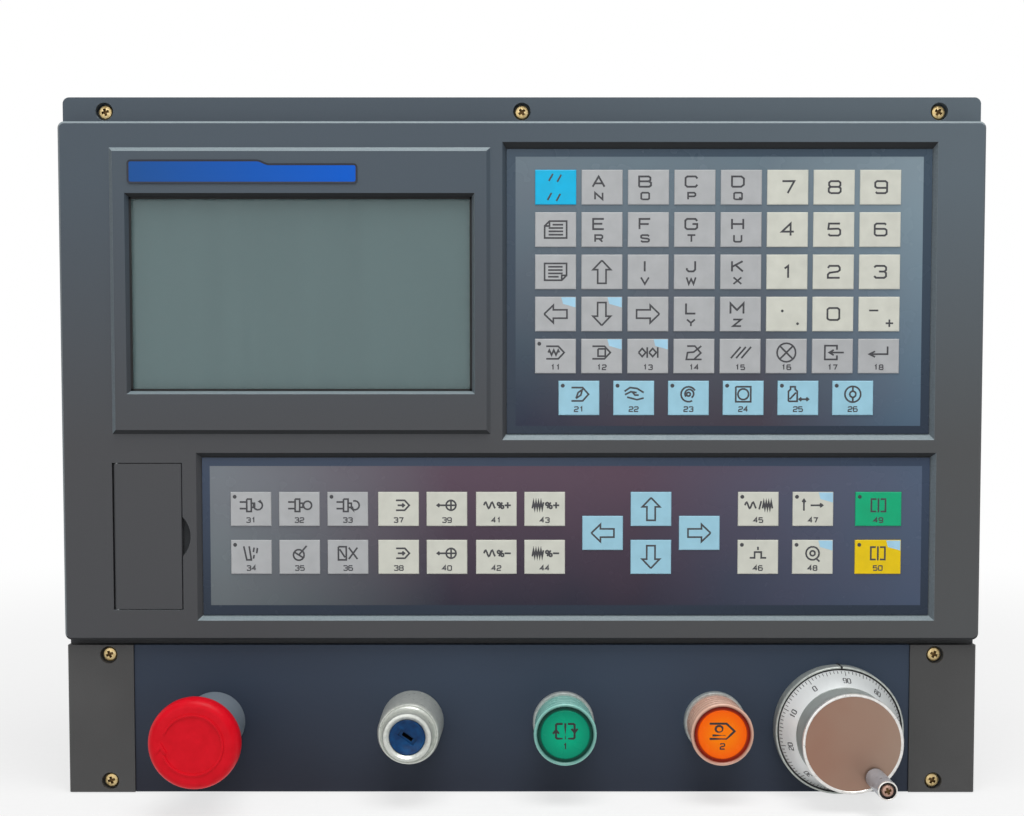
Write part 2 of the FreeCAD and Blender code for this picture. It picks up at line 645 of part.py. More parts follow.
# Keys of the two keypads, as blocks: first column, first row, columns, rows, pitches and key width
DATA_KEYS = [
    ("data_keys_x", "data_keys_z", "8", "5", "data_pitch_x", "data_pitch_z", "key_width"),
    ("mode_keys_x", "data_keys_z - 5 * data_pitch_z", "6", "1", "mode_pitch", "1", "key_width"),
]
ARROWS_MIDDLE = "machine_keys_z - machine_pitch_z / 2"
MACHINE_KEYS = [
    ("spindle_keys_x", "machine_keys_z", "3", "2", "machine_pitch_x", "machine_pitch_z", "key_width"),
    ("zero_keys_x", "machine_keys_z", "2", "2", "machine_pitch_x", "machine_pitch_z", "key_width"),
    ("override_keys_x", "machine_keys_z", "2", "2", "machine_pitch_x", "machine_pitch_z", "key_width"),
    ("arrow_keys_x", "machine_keys_z", "1", "2", "1", "machine_pitch_z", "key_width"),
    ("(arrow_keys_x - machine_pitch_x)", ARROWS_MIDDLE, "2", "1", "2 * machine_pitch_x", "1", "key_width"),
    ("feed_keys_x", "machine_keys_z", "2", "2", "feed_pitch", "machine_pitch_z", "key_width"),
    ("cycle_keys_x", "machine_keys_z", "1", "2", "1", "machine_pitch_z", "wide_key"),
]


# Rows of push switches under the keys, as strips: first and last key, first row, rows and pitch
DATA_STRIPS = [
    ("data_keys_x", "data_keys_x + 7 * data_pitch_x", "data_keys_z", "5", "data_pitch_z"),
    ("mode_keys_x", "mode_keys_x + 5 * mode_pitch", "data_keys_z - 5 * data_pitch_z", "1", "1"),
]
MACHINE_STRIPS = [
    ("spindle_keys_x", "cycle_keys_x", "machine_keys_z", "2", "machine_pitch_z"),
    ("arrow_keys_x - machine_pitch_x", "arrow_keys_x + machine_pitch_x", ARROWS_MIDDLE, "1", "1"),
]

# Keypads: one embossed film bonded into its bed, and behind it a board with rows of push switches
for name, slope_x, slope_z, blocks, strips in (
    ("data", "data_slope_x", "data_slope_z", DATA_KEYS, DATA_STRIPS),
    ("machine", "machine_slope", "machine_slope", MACHINE_KEYS, MACHINE_STRIPS),
):
    bed = (f"{name}_x", f"{name}_z")
    bed_width, bed_height = f"({name}_width - 2 * {slope_x})", f"({name}_height - 2 * {slope_z})"
    film, _ = plate(
        f"{name}_keypad_film", RECESS_FLOOR, "film_thick", *bed,
        f"{bed_width} - 2 * film_gap", f"{bed_height} - 2 * film_gap",
    )
    for first_x, first_z, columns, rows, pitch_x, pitch_z, width in blocks:
        key = rectangle(
            sketch_on(film, FRONT, f"{RECESS_FLOOR} + film_thick"), first_x, f"({first_z})", width, "key_height"
        )
        repeat(pad(key, "key_rise", taper="-key_taper"), key, columns, pitch_x, rows, pitch_z)
    plate(
        f"{name}_keypad_board", f"{FLOOR_BACK} - board_thick", "board_thick", *bed,
        f"{bed_width} - 2 * ledge + 2 * board_margin", f"{bed_height} - 2 * ledge + 2 * board_margin",
    )
    switches = new_body(f"{name}_key_switches")
    for first_x, last_x, first_z, rows, pitch_z in strips:
        strip = rectangle(
            sketch_on(switches, FRONT, FLOOR_BACK), f"({first_x} + {last_x}) / 2", f"({first_z})",
            f"{last_x} - ({first_x}) + switch_size", "switch_size",
        )
        repeat(pad(strip, "bezel_wall"), strip, "1", "1", rows, pitch_z)

# Port door, its steel pin, and the socket on the pocket's floor
door = new_body("port_door")
door_profile = sketch_on(door, LEVEL, f"{DOOR_BOTTOM} + door_gap")
DOOR_EDGE = f"{DOOR_RIGHT} - door_gap"
outline(
    door_profile,
    [
        (DOOR_AXIS_X, "-(bezel_depth - door_thick)"),
        (DOOR_EDGE, "-(bezel_depth - door_thick)"),
        (DOOR_EDGE, "-bezel_depth"),
        (DOOR_AXIS_X, "-bezel_depth"),
    ],
)
pad(door_profile, "opening_height - 2 * door_gap")
knuckle = circle(sketch_on(door, LEVEL, f"{DOOR_BOTTOM} + door_gap"), DOOR_AXIS_X, f"-{DOOR_AXIS_DEPTH}", "door_thick / 2")
pad(knuckle, "opening_height - 2 * door_gap")
door_bore = circle(
    sketch_on(door, LEVEL, DOOR_BOTTOM), DOOR_AXIS_X, f"-{DOOR_AXIS_DEPTH}", "hinge_pin + running_fit"
)
pocket(door_bore, "opening_height", forwards=True)
pin = new_body("port_door_pin")
pad(
    circle(
        sketch_on(pin, LEVEL, f"{DOOR_BOTTOM} - pin_grip + door_seat"), DOOR_AXIS_X, f"-{DOOR_AXIS_DEPTH}", "hinge_pin"
    ),
    "opening_height + 2 * (pin_grip - door_seat)",
)
socket, _ = plate("port_socket", "pocket_floor", "socket_flange", POCKET_X, POCKET_Z, "socket_width", "socket_length")
shell = rectangle(
    sketch_on(socket, FRONT, "pocket_floor + socket_flange"), POCKET_X, POCKET_Z,
    "socket_nose", "socket_length - socket_width",
)
pad(shell, "port_nose")

# ---------------------------------------------------------------- housing

# Folded steel box: a flange outwards at the front, screwed to the moulding, and one inwards at the back
HOUSING_Z = "((housing_top + housing_bottom) / 2)"
HOUSING_HEIGHT = "(housing_top - housing_bottom)"
housing, _ = plate(
    "rear_housing", "-housing_back", "housing_back + housing_front", "0", HOUSING_Z, "housing_width", HOUSING_HEIGHT
)
flange = rectangle(
    sketch_on(housing, FRONT, "housing_front - sheet"), "0", f"({BEZEL_TOP} + {BEZEL_BOTTOM}) / 2",
    "housing_width + 2 * front_flange", "bezel_height - 2 * bezel_wall - 2 * film_gap",
)
pad(flange, "sheet")
hollow = rectangle(
    sketch_on(housing, FRONT, "housing_front"), "0", HOUSING_Z, "housing_width - 2 * sheet", f"{HOUSING_HEIGHT} - 2 * sheet"
)
pocket(hollow, "housing_front + housing_back - sheet")
rear_opening = rectangle(
    sketch_on(housing, FRONT, "sheet - housing_back"), "0", HOUSING_Z,
    "housing_width - 2 * rear_flange", f"{HOUSING_HEIGHT} - 2 * rear_flange",
)
pocket(rear_opening, "sheet")

TERMINAL_X = "(main_board_width / 2 - terminal_inset)"
COVER_FRONT = "(-housing_back)"
cover, _ = plate(
    "rear_cover", "-housing_back - sheet", "sheet", "0", HOUSING_Z, "housing_width - sheet", f"{HOUSING_HEIGHT} - sheet"
)
for side in ("-", ""):
    slot = rectangle(
        sketch_on(cover, FRONT, COVER_FRONT), f"{side}vent_x", "(vent_z + vent_pitch * (vent_count - 1) / 2)",
        "vent_length", "vent_width",
    )
    repeat(pocket(slot, "sheet"), slot, "1", "1", "vent_count", "vent_pitch")
socket_cut = rectangle(
    sketch_on(cover, FRONT, COVER_FRONT), "drive_socket_x", "drive_socket_z",
    "drive_socket_length - socket_width + 2 * cut_gap", "socket_nose + 2 * cut_gap",
)
repeat(pocket(socket_cut, "sheet"), socket_cut, "drive_socket_count", "drive_socket_pitch")
terminal_cut = rectangle(
    sketch_on(cover, FRONT, COVER_FRONT), TERMINAL_X, "drive_socket_z",
    "terminal_length + 2 * cut_gap", "terminal_height + 2 * cut_gap",
)
pocket(terminal_cut, "sheet")

# Main board on pillars that stand on the cover, its components, and its sockets that reach through the cover
BOARD_BACK = "(standoff_length - housing_back)"
plate(
    "main_board", BOARD_BACK, "board_thick", "0", "main_board_z", "main_board_width", "main_board_height"
)
pillars = new_body("board_pillars")
pillar = hexagon(
    sketch_on(pillars, FRONT, COVER_FRONT), "(standoff_inset - main_board_width / 2)",
    "(main_board_z + main_board_height / 2 - standoff_inset)", "standoff_across",
)
repeat(
    pad(pillar, "standoff_length"), pillar, "3", "main_board_width / 2 - standoff_inset",
    "2", "main_board_height - 2 * standoff_inset",
)
components = new_body("board_components")
BOARD_FRONT = f"({BOARD_BACK} + board_thick)"
for place, width, height, rise in (
    (("processor_x", "processor_z"), "processor_width", "processor_width", "processor_rise"),
    (("converter_x", "processor_z"), "converter_length", "converter_height", "converter_rise"),
    (("header_x", "header_z"), "header_length", "header_height", "header_rise"),
):
    pad(rectangle(sketch_on(components, FRONT, BOARD_FRONT), *place, width, height), rise)
sockets = new_body("drive_sockets")
socket_body = rectangle(
    sketch_on(sockets, FRONT, f"-housing_back - sheet - shell_proud"), "drive_socket_x", "drive_socket_z",
    "drive_socket_length - socket_width", "socket_nose",
)
repeat(
    pad(socket_body, f"{BOARD_BACK} + housing_back + sheet + shell_proud"), socket_body,
    "drive_socket_count", "drive_socket_pitch",
)
socket_foot = rectangle(
    sketch_on(sockets, FRONT, f"{BOARD_BACK} - socket_width"), "drive_socket_x", "drive_socket_z",
    "drive_socket_length", "socket_width",
)
repeat(pad(socket_foot, "socket_width"), socket_foot, "drive_socket_count", "drive_socket_pitch")
terminal = new_body("supply_terminal")
pad(
    rectangle(
        sketch_on(terminal, FRONT, "-housing_back - sheet - shell_proud"), TERMINAL_X, "drive_socket_z",
        "terminal_length", "terminal_height",
    ),
    f"{BOARD_BACK} + housing_back + sheet + shell_proud",
)


# ---------------------------------------------------------------- switch panel

# Extruded aluminium channel. Its upper side rests on the main unit's lower strip, its lower side reaches the
# cabinet, and two ribs run along its back.
channel = new_body("switch_panel_channel")
CHANNEL_LENGTH = "(panel_width - 2 * cap_width)"
RIB_HIGH, RIB_LOW = f"({LOWER_MIDDLE} + rib_spread / 2)", f"({LOWER_MIDDLE} - rib_spread / 2)"
section = sketch_on(channel, SIDE, f"-{CHANNEL_LENGTH} / 2")
outline(
    section,
    [
        (f"-{PLATE_FRONT}", LOWER_BOTTOM),
        ("0", LOWER_BOTTOM),
        ("0", f"{LOWER_BOTTOM} + lip_thick"),
        (f"-{PLATE_BACK}", f"{LOWER_BOTTOM} + lip_thick"),
        (f"-{PLATE_BACK}", f"{RIB_LOW} - lip_thick / 2"),
        (f"lip_thick - {PLATE_BACK}", f"{RIB_LOW} - lip_thick / 2"),
        (f"lip_thick - {PLATE_BACK}", f"{RIB_LOW} + lip_thick / 2"),
        (f"-{PLATE_BACK}", f"{RIB_LOW} + lip_thick / 2"),
        (f"-{PLATE_BACK}", f"{RIB_HIGH} - lip_thick / 2"),
        (f"lip_thick - {PLATE_BACK}", f"{RIB_HIGH} - lip_thick / 2"),
        (f"lip_thick - {PLATE_BACK}", f"{RIB_HIGH} + lip_thick / 2"),
        (f"-{PLATE_BACK}", f"{RIB_HIGH} + lip_thick / 2"),
        (f"-{PLATE_BACK}", f"{LOWER_TOP} - lip_thick"),
        ("-strip_depth", f"{LOWER_TOP} - lip_thick"),
        ("-strip_depth", LOWER_TOP),
        (f"-{PLATE_FRONT}", LOWER_TOP),
    ],
)
pad(section, CHANNEL_LENGTH)
for place in (ESTOP_X, KEY_SWITCH_X, START_X, HOLD_X):
    pocket(circle(sketch_on(channel, FRONT, PLATE_FRONT), place, "device_z", "device_hole"), "plate_thick")
encoder_hole = circle(
    sketch_on(channel, FRONT, PLATE_FRONT), WHEEL_X, "wheel_z", "encoder_width * sqrt(2) / 2 + hole_play"
)
pocket(encoder_hole, "plate_thick")

# Moulded end caps: each covers an end of the channel, plugs into it with a tongue and holds two screws
for label, side in (("left_end_cap", "-"), ("right_end_cap", "")):
    cap = new_body(label)
    middle_x = f"{side}({HALF_WIDTH} - cap_width / 2)"
    face = rectangle(
        sketch_on(cap, FRONT), middle_x, LOWER_MIDDLE, "cap_width", "lower_height"
    )
    solid = pad(face, "cap_depth")
    outer_x = value(HALF_WIDTH)
    bevelled = bevel_edges(
        solid, "cap_bevel", lambda a, b, mid: near(mid.y, -value("cap_depth")) and near(abs(mid.x), outer_x)
    )
    strip_step = rectangle(
        sketch_on(cap, FRONT), middle_x, f"({LOWER_TOP} + {UNIT_BOTTOM}) / 2", "cap_width", f"{LOWER_TOP} - {UNIT_BOTTOM}"
    )
    pocket(strip_step, "strip_depth", forwards=True)
    tongue = rectangle(
        sketch_on(cap, FRONT, f"{PLATE_BACK} - lip_thick"),
        f"{side}({HALF_WIDTH} - cap_width - cap_tongue / 2)", LOWER_MIDDLE,
        "cap_tongue", "rib_spread - lip_thick - 2 * cap_play",
    )
    pad(tongue, "lip_thick - cap_play")
    for row in (MIDDLE_SCREWS_Z, LOWEST_SCREWS_Z):
        hole = circle(sketch_on(cap, FRONT, "cap_depth"), f"{side}{SCREW_X}", row, "screw_hole")
        pocket(hole, "cap_depth")


def square(body, level, centre_x, width, centre_z="device_z"):
    return rectangle(sketch_on(body, FRONT, level), centre_x, centre_z, width, width)


def contact_block(label, places, passage, room_back):
    """Contact blocks behind the panel, each with a square neck through its hole and a passage for what moves."""
    body = new_body(label)
    for centre_x in places:
        block = rectangle(
            sketch_on(body, FRONT, f"{PLATE_BACK} - block_depth"), centre_x, "device_z", "block_width", "block_height"
        )
        pad(block, "block_depth")
        pad(square(body, PLATE_BACK, centre_x, "neck_width"), "plate_thick")
    for centre_x in places:
        pocket(square(body, PLATE_FRONT, centre_x, passage), f"{PLATE_FRONT} + {room_back}")


def floor_hole(body, places, width):
    """A square hole through the floor of each switch body."""
    for centre_x in places:
        pocket(square(body, PLATE_FRONT, centre_x, width), "ring_front", forwards=True)


# Emergency stop: fixed collar, push rod, and the mushroom head whose shank slides and turns in the collar
ROD_PASSAGE = "rod_width + 2 * running_fit"
SHANK_BORE = "shank_radius + running_fit"
collar = turned(
    "estop_collar", ESTOP_X, "device_z",
    [
        ("0", PLATE_FRONT),
        ("collar_radius", PLATE_FRONT),
        ("collar_radius", "collar_front"),
        (SHANK_BORE, "collar_front"),
        (SHANK_BORE, f"{PLATE_FRONT} + body_floor"),
        ("0", f"{PLATE_FRONT} + body_floor"),
    ],
)
floor_hole(collar, [ESTOP_X], ROD_PASSAGE)
plunger = new_body("estop_push_rod")
pad(square(plunger, "-rod_back", ESTOP_X, "rod_width"), "rod_back + shank_back + rod_entry")
ROD_BORE = "rod_width * sqrt(2) / 2 + running_fit"
turned(
    "estop_mushroom", ESTOP_X, "device_z",
    [
        (ROD_BORE, "shank_back"),
        ("shank_radius", "shank_back"),
        ("shank_radius", "mushroom_back"),
        ("mushroom_radius", "mushroom_back"),
        ("mushroom_radius", "mushroom_shoulder"),
        ("mushroom_radius - mushroom_bevel", "mushroom_front"),
        ("0", "mushroom_front"),
        ("0", "shank_back + rod_entry + running_fit"),
        (ROD_BORE, "shank_back + rod_entry + running_fit"),
    ],
)
contact_block("estop_contact_block", [ESTOP_X], ROD_PASSAGE, "rod_back + estop_travel + button_room")

# Key switch: stepped metal body, and the rotor with its key slot and square tail
KEY_BORE = "rotor_radius + running_fit"
TAIL_PASSAGE = "rod_width * sqrt(2) + 2 * rotor_play"
key_body = turned(
    "key_switch_body", KEY_SWITCH_X, "device_z",
    [
        ("0", PLATE_FRONT),
        ("key_body_radius", PLATE_FRONT),
        ("key_body_radius", "key_shoulder"),
        ("key_neck_radius", "key_shoulder"),
        ("key_neck_radius", "key_front"),
        (KEY_BORE, "key_front"),
        (KEY_BORE, f"{PLATE_FRONT} + body_floor"),
        ("0", f"{PLATE_FRONT} + body_floor"),
    ],
)
floor_hole(key_body, [KEY_SWITCH_X], TAIL_PASSAGE)
ROTOR_BACK = f"({PLATE_FRONT} + body_floor + running_fit)"
ROTOR_FRONT = "(key_front - rotor_sunk)"
rotor = turned(
    "key_switch_rotor", KEY_SWITCH_X, "device_z",
    [("0", ROTOR_BACK), ("rotor_radius", ROTOR_BACK), ("rotor_radius", ROTOR_FRONT), ("0", ROTOR_FRONT)],
)
pad(square(rotor, "-rod_back", KEY_SWITCH_X, "rod_width"), f"rod_back + {ROTOR_BACK}")
keyway = sketch_on(rotor, FRONT, ROTOR_FRONT)
SLOT_TURN = "(90deg + keyway_turn * 1deg)"
outline(
    keyway,
    [
        (
            f"{KEY_SWITCH_X} + {along} * keyway_length / 2 * cos{SLOT_TURN} - {across} * keyway_width / 2 * sin{SLOT_TURN}",
            f"device_z + {along} * keyway_length / 2 * sin{SLOT_TURN} + {across} * keyway_width / 2 * cos{SLOT_TURN}",
        )
        for along, across in ((-1, -1), (1, -1), (1, 1), (-1, 1))
    ],
)
pocket(keyway, "keyway_depth")
contact_block("key_switch_contact_block", [KEY_SWITCH_X], TAIL_PASSAGE, "rod_back + button_room")

# Illuminated push buttons: a cupped ring, a lens on a square push tube, and the lamp inside the tube
BUTTONS = {"start": START_X, "hold": HOLD_X}
LENS_FRONT = "(ring_front - lens_sunk)"
LENS_BACK = f"({LENS_FRONT} - lens_thick)"
LENS_BORE = "lens_radius + running_fit"
LENS_ROOM = f"({LENS_BACK} - button_travel - button_room)"
TUBE_PASSAGE = "tube_width + 2 * running_fit"
rings = new_body("button_rings")
for place in BUTTONS.values():
    pad(circle(sketch_on(rings, FRONT, PLATE_FRONT), place, "device_z", "ring_radius"), f"ring_front - {PLATE_FRONT}")
    pocket(circle(sketch_on(rings, FRONT, "ring_front"), place, "device_z", LENS_BORE), f"ring_front - {LENS_ROOM}")
floor_hole(rings, BUTTONS.values(), TUBE_PASSAGE)
for name, place in BUTTONS.items():
    lens = new_body(f"{name}_button_lens")
    pad(circle(sketch_on(lens, FRONT, LENS_BACK), place, "device_z", "lens_radius"), "lens_thick")
    pad(square(lens, "-rod_back", place, "tube_width"), f"rod_back + {LENS_BACK}")
    pocket(square(lens, "-rod_back", place, "tube_hollow"), f"rod_back + {LENS_BACK}", forwards=True)
BUTTON_ROOM_BACK = "rod_back + button_travel + button_room"
contact_block("button_contact_blocks", BUTTONS.values(), TUBE_PASSAGE, BUTTON_ROOM_BACK)
lamps = new_body("button_lamps")
for place in BUTTONS.values():
    pad(square(lamps, f"-({BUTTON_ROOM_BACK})", place, "lamp_width"), "lamp_length")

# ---------------------------------------------------------------- handwheel

# Fixed ring on the panel, with the encoder's square housing behind it
SPINDLE_BORE = "spindle_radius + running_fit"
base = new_body("handwheel_base")
pad(square(base, "-encoder_back", WHEEL_X, "encoder_width", "wheel_z"), f"encoder_back + {PLATE_FRONT}")
pad(circle(sketch_on(base, FRONT, PLATE_FRONT), WHEEL_X, "wheel_z", "base_radius"), f"base_front - {PLATE_FRONT}")
pocket(circle(sketch_on(base, FRONT, "base_front"), WHEEL_X, "wheel_z", SPINDLE_BORE), "base_front + encoder_back")

# Graduated dial with a sloping face, knob and spindle, turned in one
DIAL_BACK = "(base_front + dial_gap)"
wheel = turned(
    "handwheel", WHEEL_X, "wheel_z",
    [
        ("0", "-spindle_back"),
        ("spindle_radius", "-spindle_back"),
        ("spindle_radius", DIAL_BACK),
        ("dial_radius", DIAL_BACK),
        ("dial_radius", "dial_rim"),
        ("knob_radius", "dial_front"),
        ("knob_radius", "knob_front"),
        ("0", "knob_front"),
    ],
)
pocket(circle(sketch_on(wheel, FRONT, "knob_front"), CRANK_X, CRANK_Z, "crank_pin + running_fit"), "crank_thread")

# Crank: a shoulder pin in the knob, and the grip that spins on it
GRIP_BACK = "(knob_front + grip_gap)"
HEAD_BACK = "(grip_front + running_fit)"
turned(
    "crank_pin", CRANK_X, CRANK_Z,
    [
        ("0", "knob_front - crank_thread"),
        ("crank_pin", "knob_front - crank_thread"),
        ("crank_pin", HEAD_BACK),
        ("crank_pin_head", HEAD_BACK),
        ("crank_pin_head", f"{HEAD_BACK} + crank_head_thick"),
        ("0", f"{HEAD_BACK} + crank_head_thick"),
    ],
)
turned(
    "crank_grip", CRANK_X, CRANK_Z,
    [
        ("crank_pin + running_fit", GRIP_BACK),
        ("grip_radius", GRIP_BACK),
        ("grip_radius", "grip_front"),
        ("crank_pin + running_fit", "grip_front"),
    ],
)

# ---------------------------------------------------------------- check and write

document.recompute()
for item in document.Objects:
    for state in ("Invalid", "Error"):
        if state in item.State:
            raise RuntimeError(f"{item.Name} is {state.lower()}")

os.makedirs("parts", exist_ok=True)
pieces = [item for item in document.Objects if item.TypeId == "PartDesign::Body"]
for piece in pieces:
    if piece.Shape.isNull() or not piece.Shape.isValid():
        raise RuntimeError(f"{piece.Label} has no valid shape")
    piece.Shape.exportStep(f"parts/{piece.Label}.step")
    solids = len(piece.Shape.Solids)
    print(f"{piece.Label}: {solids} solid{'s' if solids > 1 else ''}, {piece.Shape.Volume / 1000:.2f} cm3")
print(f"{len(pieces)} pieces")
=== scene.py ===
"""Looks of the operator panel of a lathe: finishes, print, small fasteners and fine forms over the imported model."""
import math

import bmesh
import bpy
from mathutils import Matrix, Vector


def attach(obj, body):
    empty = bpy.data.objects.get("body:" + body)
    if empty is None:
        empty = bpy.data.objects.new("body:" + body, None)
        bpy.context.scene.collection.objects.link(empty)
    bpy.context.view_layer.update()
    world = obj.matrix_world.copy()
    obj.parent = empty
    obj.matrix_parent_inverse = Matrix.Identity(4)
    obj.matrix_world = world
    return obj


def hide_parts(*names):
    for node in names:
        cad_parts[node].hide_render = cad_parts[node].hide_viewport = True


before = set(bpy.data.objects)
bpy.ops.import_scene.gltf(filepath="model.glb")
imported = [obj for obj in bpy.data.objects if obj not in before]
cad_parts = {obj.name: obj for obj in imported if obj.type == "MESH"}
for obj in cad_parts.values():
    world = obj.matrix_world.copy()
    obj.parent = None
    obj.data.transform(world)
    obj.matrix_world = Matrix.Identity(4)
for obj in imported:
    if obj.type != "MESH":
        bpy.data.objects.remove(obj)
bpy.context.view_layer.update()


# ---- Moulded front ----
# One ABS moulding: screw strips, raised display frame, two keypad beds with sloping walls and the port pocket.
# Injection moulded with a fine grain. Its edges leave the mould slightly rounded, which catches the light, and faces
# turned up and those turned left also carry a painted highlight.
MM = 0.001


def tone(code):
    """A colour as a screen shows it, in the numbers that a shader takes."""
    channels = [int(code[i : i + 2], 16) / 255 for i in (1, 3, 5)]
    return (*[c / 12.92 if c <= 0.04045 else ((c + 0.055) / 1.055) ** 2.4 for c in channels], 1.0)


class Pattern:
    """A socket in a finish. Sums and products of patterns add Math nodes, and node() adds any other."""

    def __init__(self, finish, socket=None):
        self.finish, self.socket = finish, socket

    def node(self, kind, sockets, output=0, **settings):
        """Adds a node with its settings, then the values or patterns of its sockets, and gives one output."""
        node = self.finish.node_tree.nodes.new("ShaderNode" + kind)
        for setting, choice in settings.items():
            setattr(node, setting, choice)
        for socket, source in sockets.items():
            if isinstance(source, Pattern):
                self.finish.node_tree.links.new(source.socket, node.inputs[socket])
            else:
                node.inputs[socket].default_value = source
        return Pattern(self.finish, node.outputs[output]) if node.outputs else None

    def maths(self, operation, *others):
        """Works on this pattern first, then on the other terms."""
        return self.node("Math", dict(enumerate((self, *others))), operation=operation)

    def __add__(self, other):
        return self.maths("ADD", other)

    def __sub__(self, other):
        return self.maths("SUBTRACT", other)

    def __mul__(self, other):
        return self.maths("MULTIPLY", other)

    __radd__, __rmul__ = __add__, __mul__

    def along(self, axis):
        """One coordinate of a place."""
        return self.node("SeparateXYZ", {0: self}, output=axis)

    def ramp(self, start, end, low=0.0, high=1.0):
        """Runs from low to high while this pattern runs from start to end."""
        return self.node("MapRange", {0: self, 1: start, 2: end, 3: low, 4: high})

    def near(self, centre, reach):
        """1 within that reach of the centre, and 0 beyond."""
        return self.maths("COMPARE", centre, reach)

    def between(self, low, high):
        """Goes from one colour to the other as this pattern goes from 0 to 1."""
        return self.node("Mix", {0: self, 6: low, 7: high}, output=2, data_type="RGBA")

    def mottle(self, size, detail=2.0, stretch=(1.0, 1.0, 1.0)):
        """Soft random patches of about that size in millimetres, from 0 to 1."""
        place = self.node("Mapping", {"Vector": self, "Scale": stretch})
        return place.node("TexNoise", {"Vector": place, "Scale": 1 / (size * MM), "Detail": detail}).ramp(0.25, 0.75)


def new_finish(name):
    """Starts a finish from the place on the piece, in metres."""
    finish = bpy.data.materials.new(name)
    finish.use_nodes = True
    finish.node_tree.nodes.clear()
    return Pattern(finish).node("TexCoord", {}, output="Object")


def finished(place, colour, roughness, relief=None, depth=0.0, **shine):
    """Joins the patterns in a shader. The relief's depth is in millimetres, and shine holds its plain numbers."""
    sockets = {"Base Color": colour, "Roughness": roughness}
    sockets.update({socket.replace("_", " "): number for socket, number in shine.items()})
    if relief:
        sockets["Normal"] = place.node("Bump", {"Height": relief, "Distance": depth * MM})
    place.node("OutputMaterial", {"Surface": place.node("BsdfPrincipled", sockets)})
    return place.finish


def mottled(name, dark, pale, size, rough, spread=0.1, depth=0.0, detail=3, **shine):
    """A finish in soft patches of two tones, which also vary its gloss and, with a depth, its relief."""
    place = new_finish(name)
    patch = place.mottle(size, detail)
    relief = patch if depth else None
    return finished(place, patch.between(tone(dark), tone(pale)), rough + spread * patch, relief, depth, **shine)


def carried(node):
    """The shape of a CAD node, its loose triangles welded and its flat faces whole again."""
    shape = bmesh.new()
    shape.from_mesh(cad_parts[node].data)
    bmesh.ops.remove_doubles(shape, verts=shape.verts, dist=0.001 * MM)
    bmesh.ops.dissolve_limit(shape, angle_limit=math.radians(0.4), verts=shape.verts, edges=shape.edges)
    return shape


def bevelled(shape, edges, width, steps=2):
    """Rounds those edges of a shape."""
    bmesh.ops.bevel(
        shape, geom=edges, offset=width * MM, segments=steps, profile=0.5, affect="EDGES", clamp_overlap=True,
        material=-1,
    )
    return shape


FINE_FACET = 0.5


def softened(shape, width, steps=2, least=24):
    """Rounds the edges that are sharper than the least angle, apart from those that end at very fine facets."""
    fine = {point for edge in shape.edges if edge.calc_length() < FINE_FACET * MM for point in edge.verts}
    sharp = [edge for edge in shape.edges if edge.is_manifold and edge.calc_face_angle() > math.radians(least)]
    bevelled(shape, [edge for edge in sharp if not fine & set(edge.verts)], width, steps)
    shape.normal_update()
    return shape


def placed(name, data):
    """Puts an object of a mesh, curve, lamp or camera into the scene."""
    made = bpy.data.objects.new(name, data)
    bpy.context.scene.collection.objects.link(made)
    return made


def as_mesh(shape, name="part"):
    """The mesh of a shape, which is let go."""
    mesh = bpy.data.meshes.new(name)
    shape.to_mesh(mesh)
    shape.free()
    return mesh


def evaluated(holder):
    """The mesh that an object gives with its modifiers, or with its curve filled out."""
    return bpy.data.meshes.new_from_object(holder.evaluated_get(bpy.context.evaluated_depsgraph_get()))


CREASE_ANGLE, FLAT_AREA = 33, 50


def piece(name, shape, finishes, body, slot, *nodes):
    """Makes a piece of a shape. It rides on a body and stands for the nodes. Its slot is not used.

    Edges past the crease angle stay sharp, and faces of more square millimetres than the flat area stay flat.
    """
    mesh = as_mesh(shape, name)
    for finish in finishes if isinstance(finishes, list) else [finishes]:
        mesh.materials.append(finish)
    mesh.set_sharp_from_angle(angle=math.radians(CREASE_ANGLE))
    mesh.polygons.foreach_set("use_smooth", [polygon.area < FLAT_AREA * MM * MM for polygon in mesh.polygons])
    made = placed(name, mesh)
    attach(made, body)
    if nodes:
        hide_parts(*nodes)


def turned(centre, profile, steps=72, sweep=360, start=0):
    """Spins (radius, forward) points round a device's axis. A ring's profile ends where it began."""
    x, z = centre[0] * MM, centre[1] * MM
    shape = bmesh.new()
    ring = profile[0] == profile[-1]
    points = [shape.verts.new((x + r * MM, -f * MM, z)) for r, f in (profile[:-1] if ring else profile)]
    edges = [shape.edges.new(pair) for pair in zip(points, points[1:] + points[:1] if ring else points[1:])]
    geometry = points + edges
    if sweep < 360:
        geometry.append(shape.faces.new(points))
    if start:
        turn = Matrix.Rotation(-math.radians(start), 3, "Y")
        bmesh.ops.rotate(shape, verts=points, cent=(x, 0, z), matrix=turn)
    bmesh.ops.spin(
        shape, geom=geometry, cent=(x, 0, z), axis=(0, -1, 0), angle=math.radians(sweep), steps=steps,
        use_merge=sweep == 360,
    )
    bmesh.ops.remove_doubles(shape, verts=shape.verts, dist=0.001 * MM)
    bmesh.ops.recalc_face_normals(shape, faces=shape.faces)
    return shape


def worked(shape, *tools):
    """Cuts the tools out of a shape."""
    parts = [placed("part", as_mesh(part)) for part in (shape, *tools)]
    for tool in parts[1:]:
        cut = parts[0].modifiers.new("cut", "BOOLEAN")
        cut.object, cut.operation, cut.solver = tool, "DIFFERENCE", "EXACT"
    mesh = evaluated(parts[0])
    result = bmesh.new()
    result.from_mesh(mesh)
    for part in parts:
        bpy.data.objects.remove(part)
    bpy.data.meshes.remove(mesh)
    return result


def seats(spots, floor):
    """Tools that sink a seat for a screw's head at each (x, z), down to that floor."""
    return [turned(spot, [(0, floor), (4.0, floor), (4.0, floor + 9), (0, floor + 9)], 48) for spot in spots]
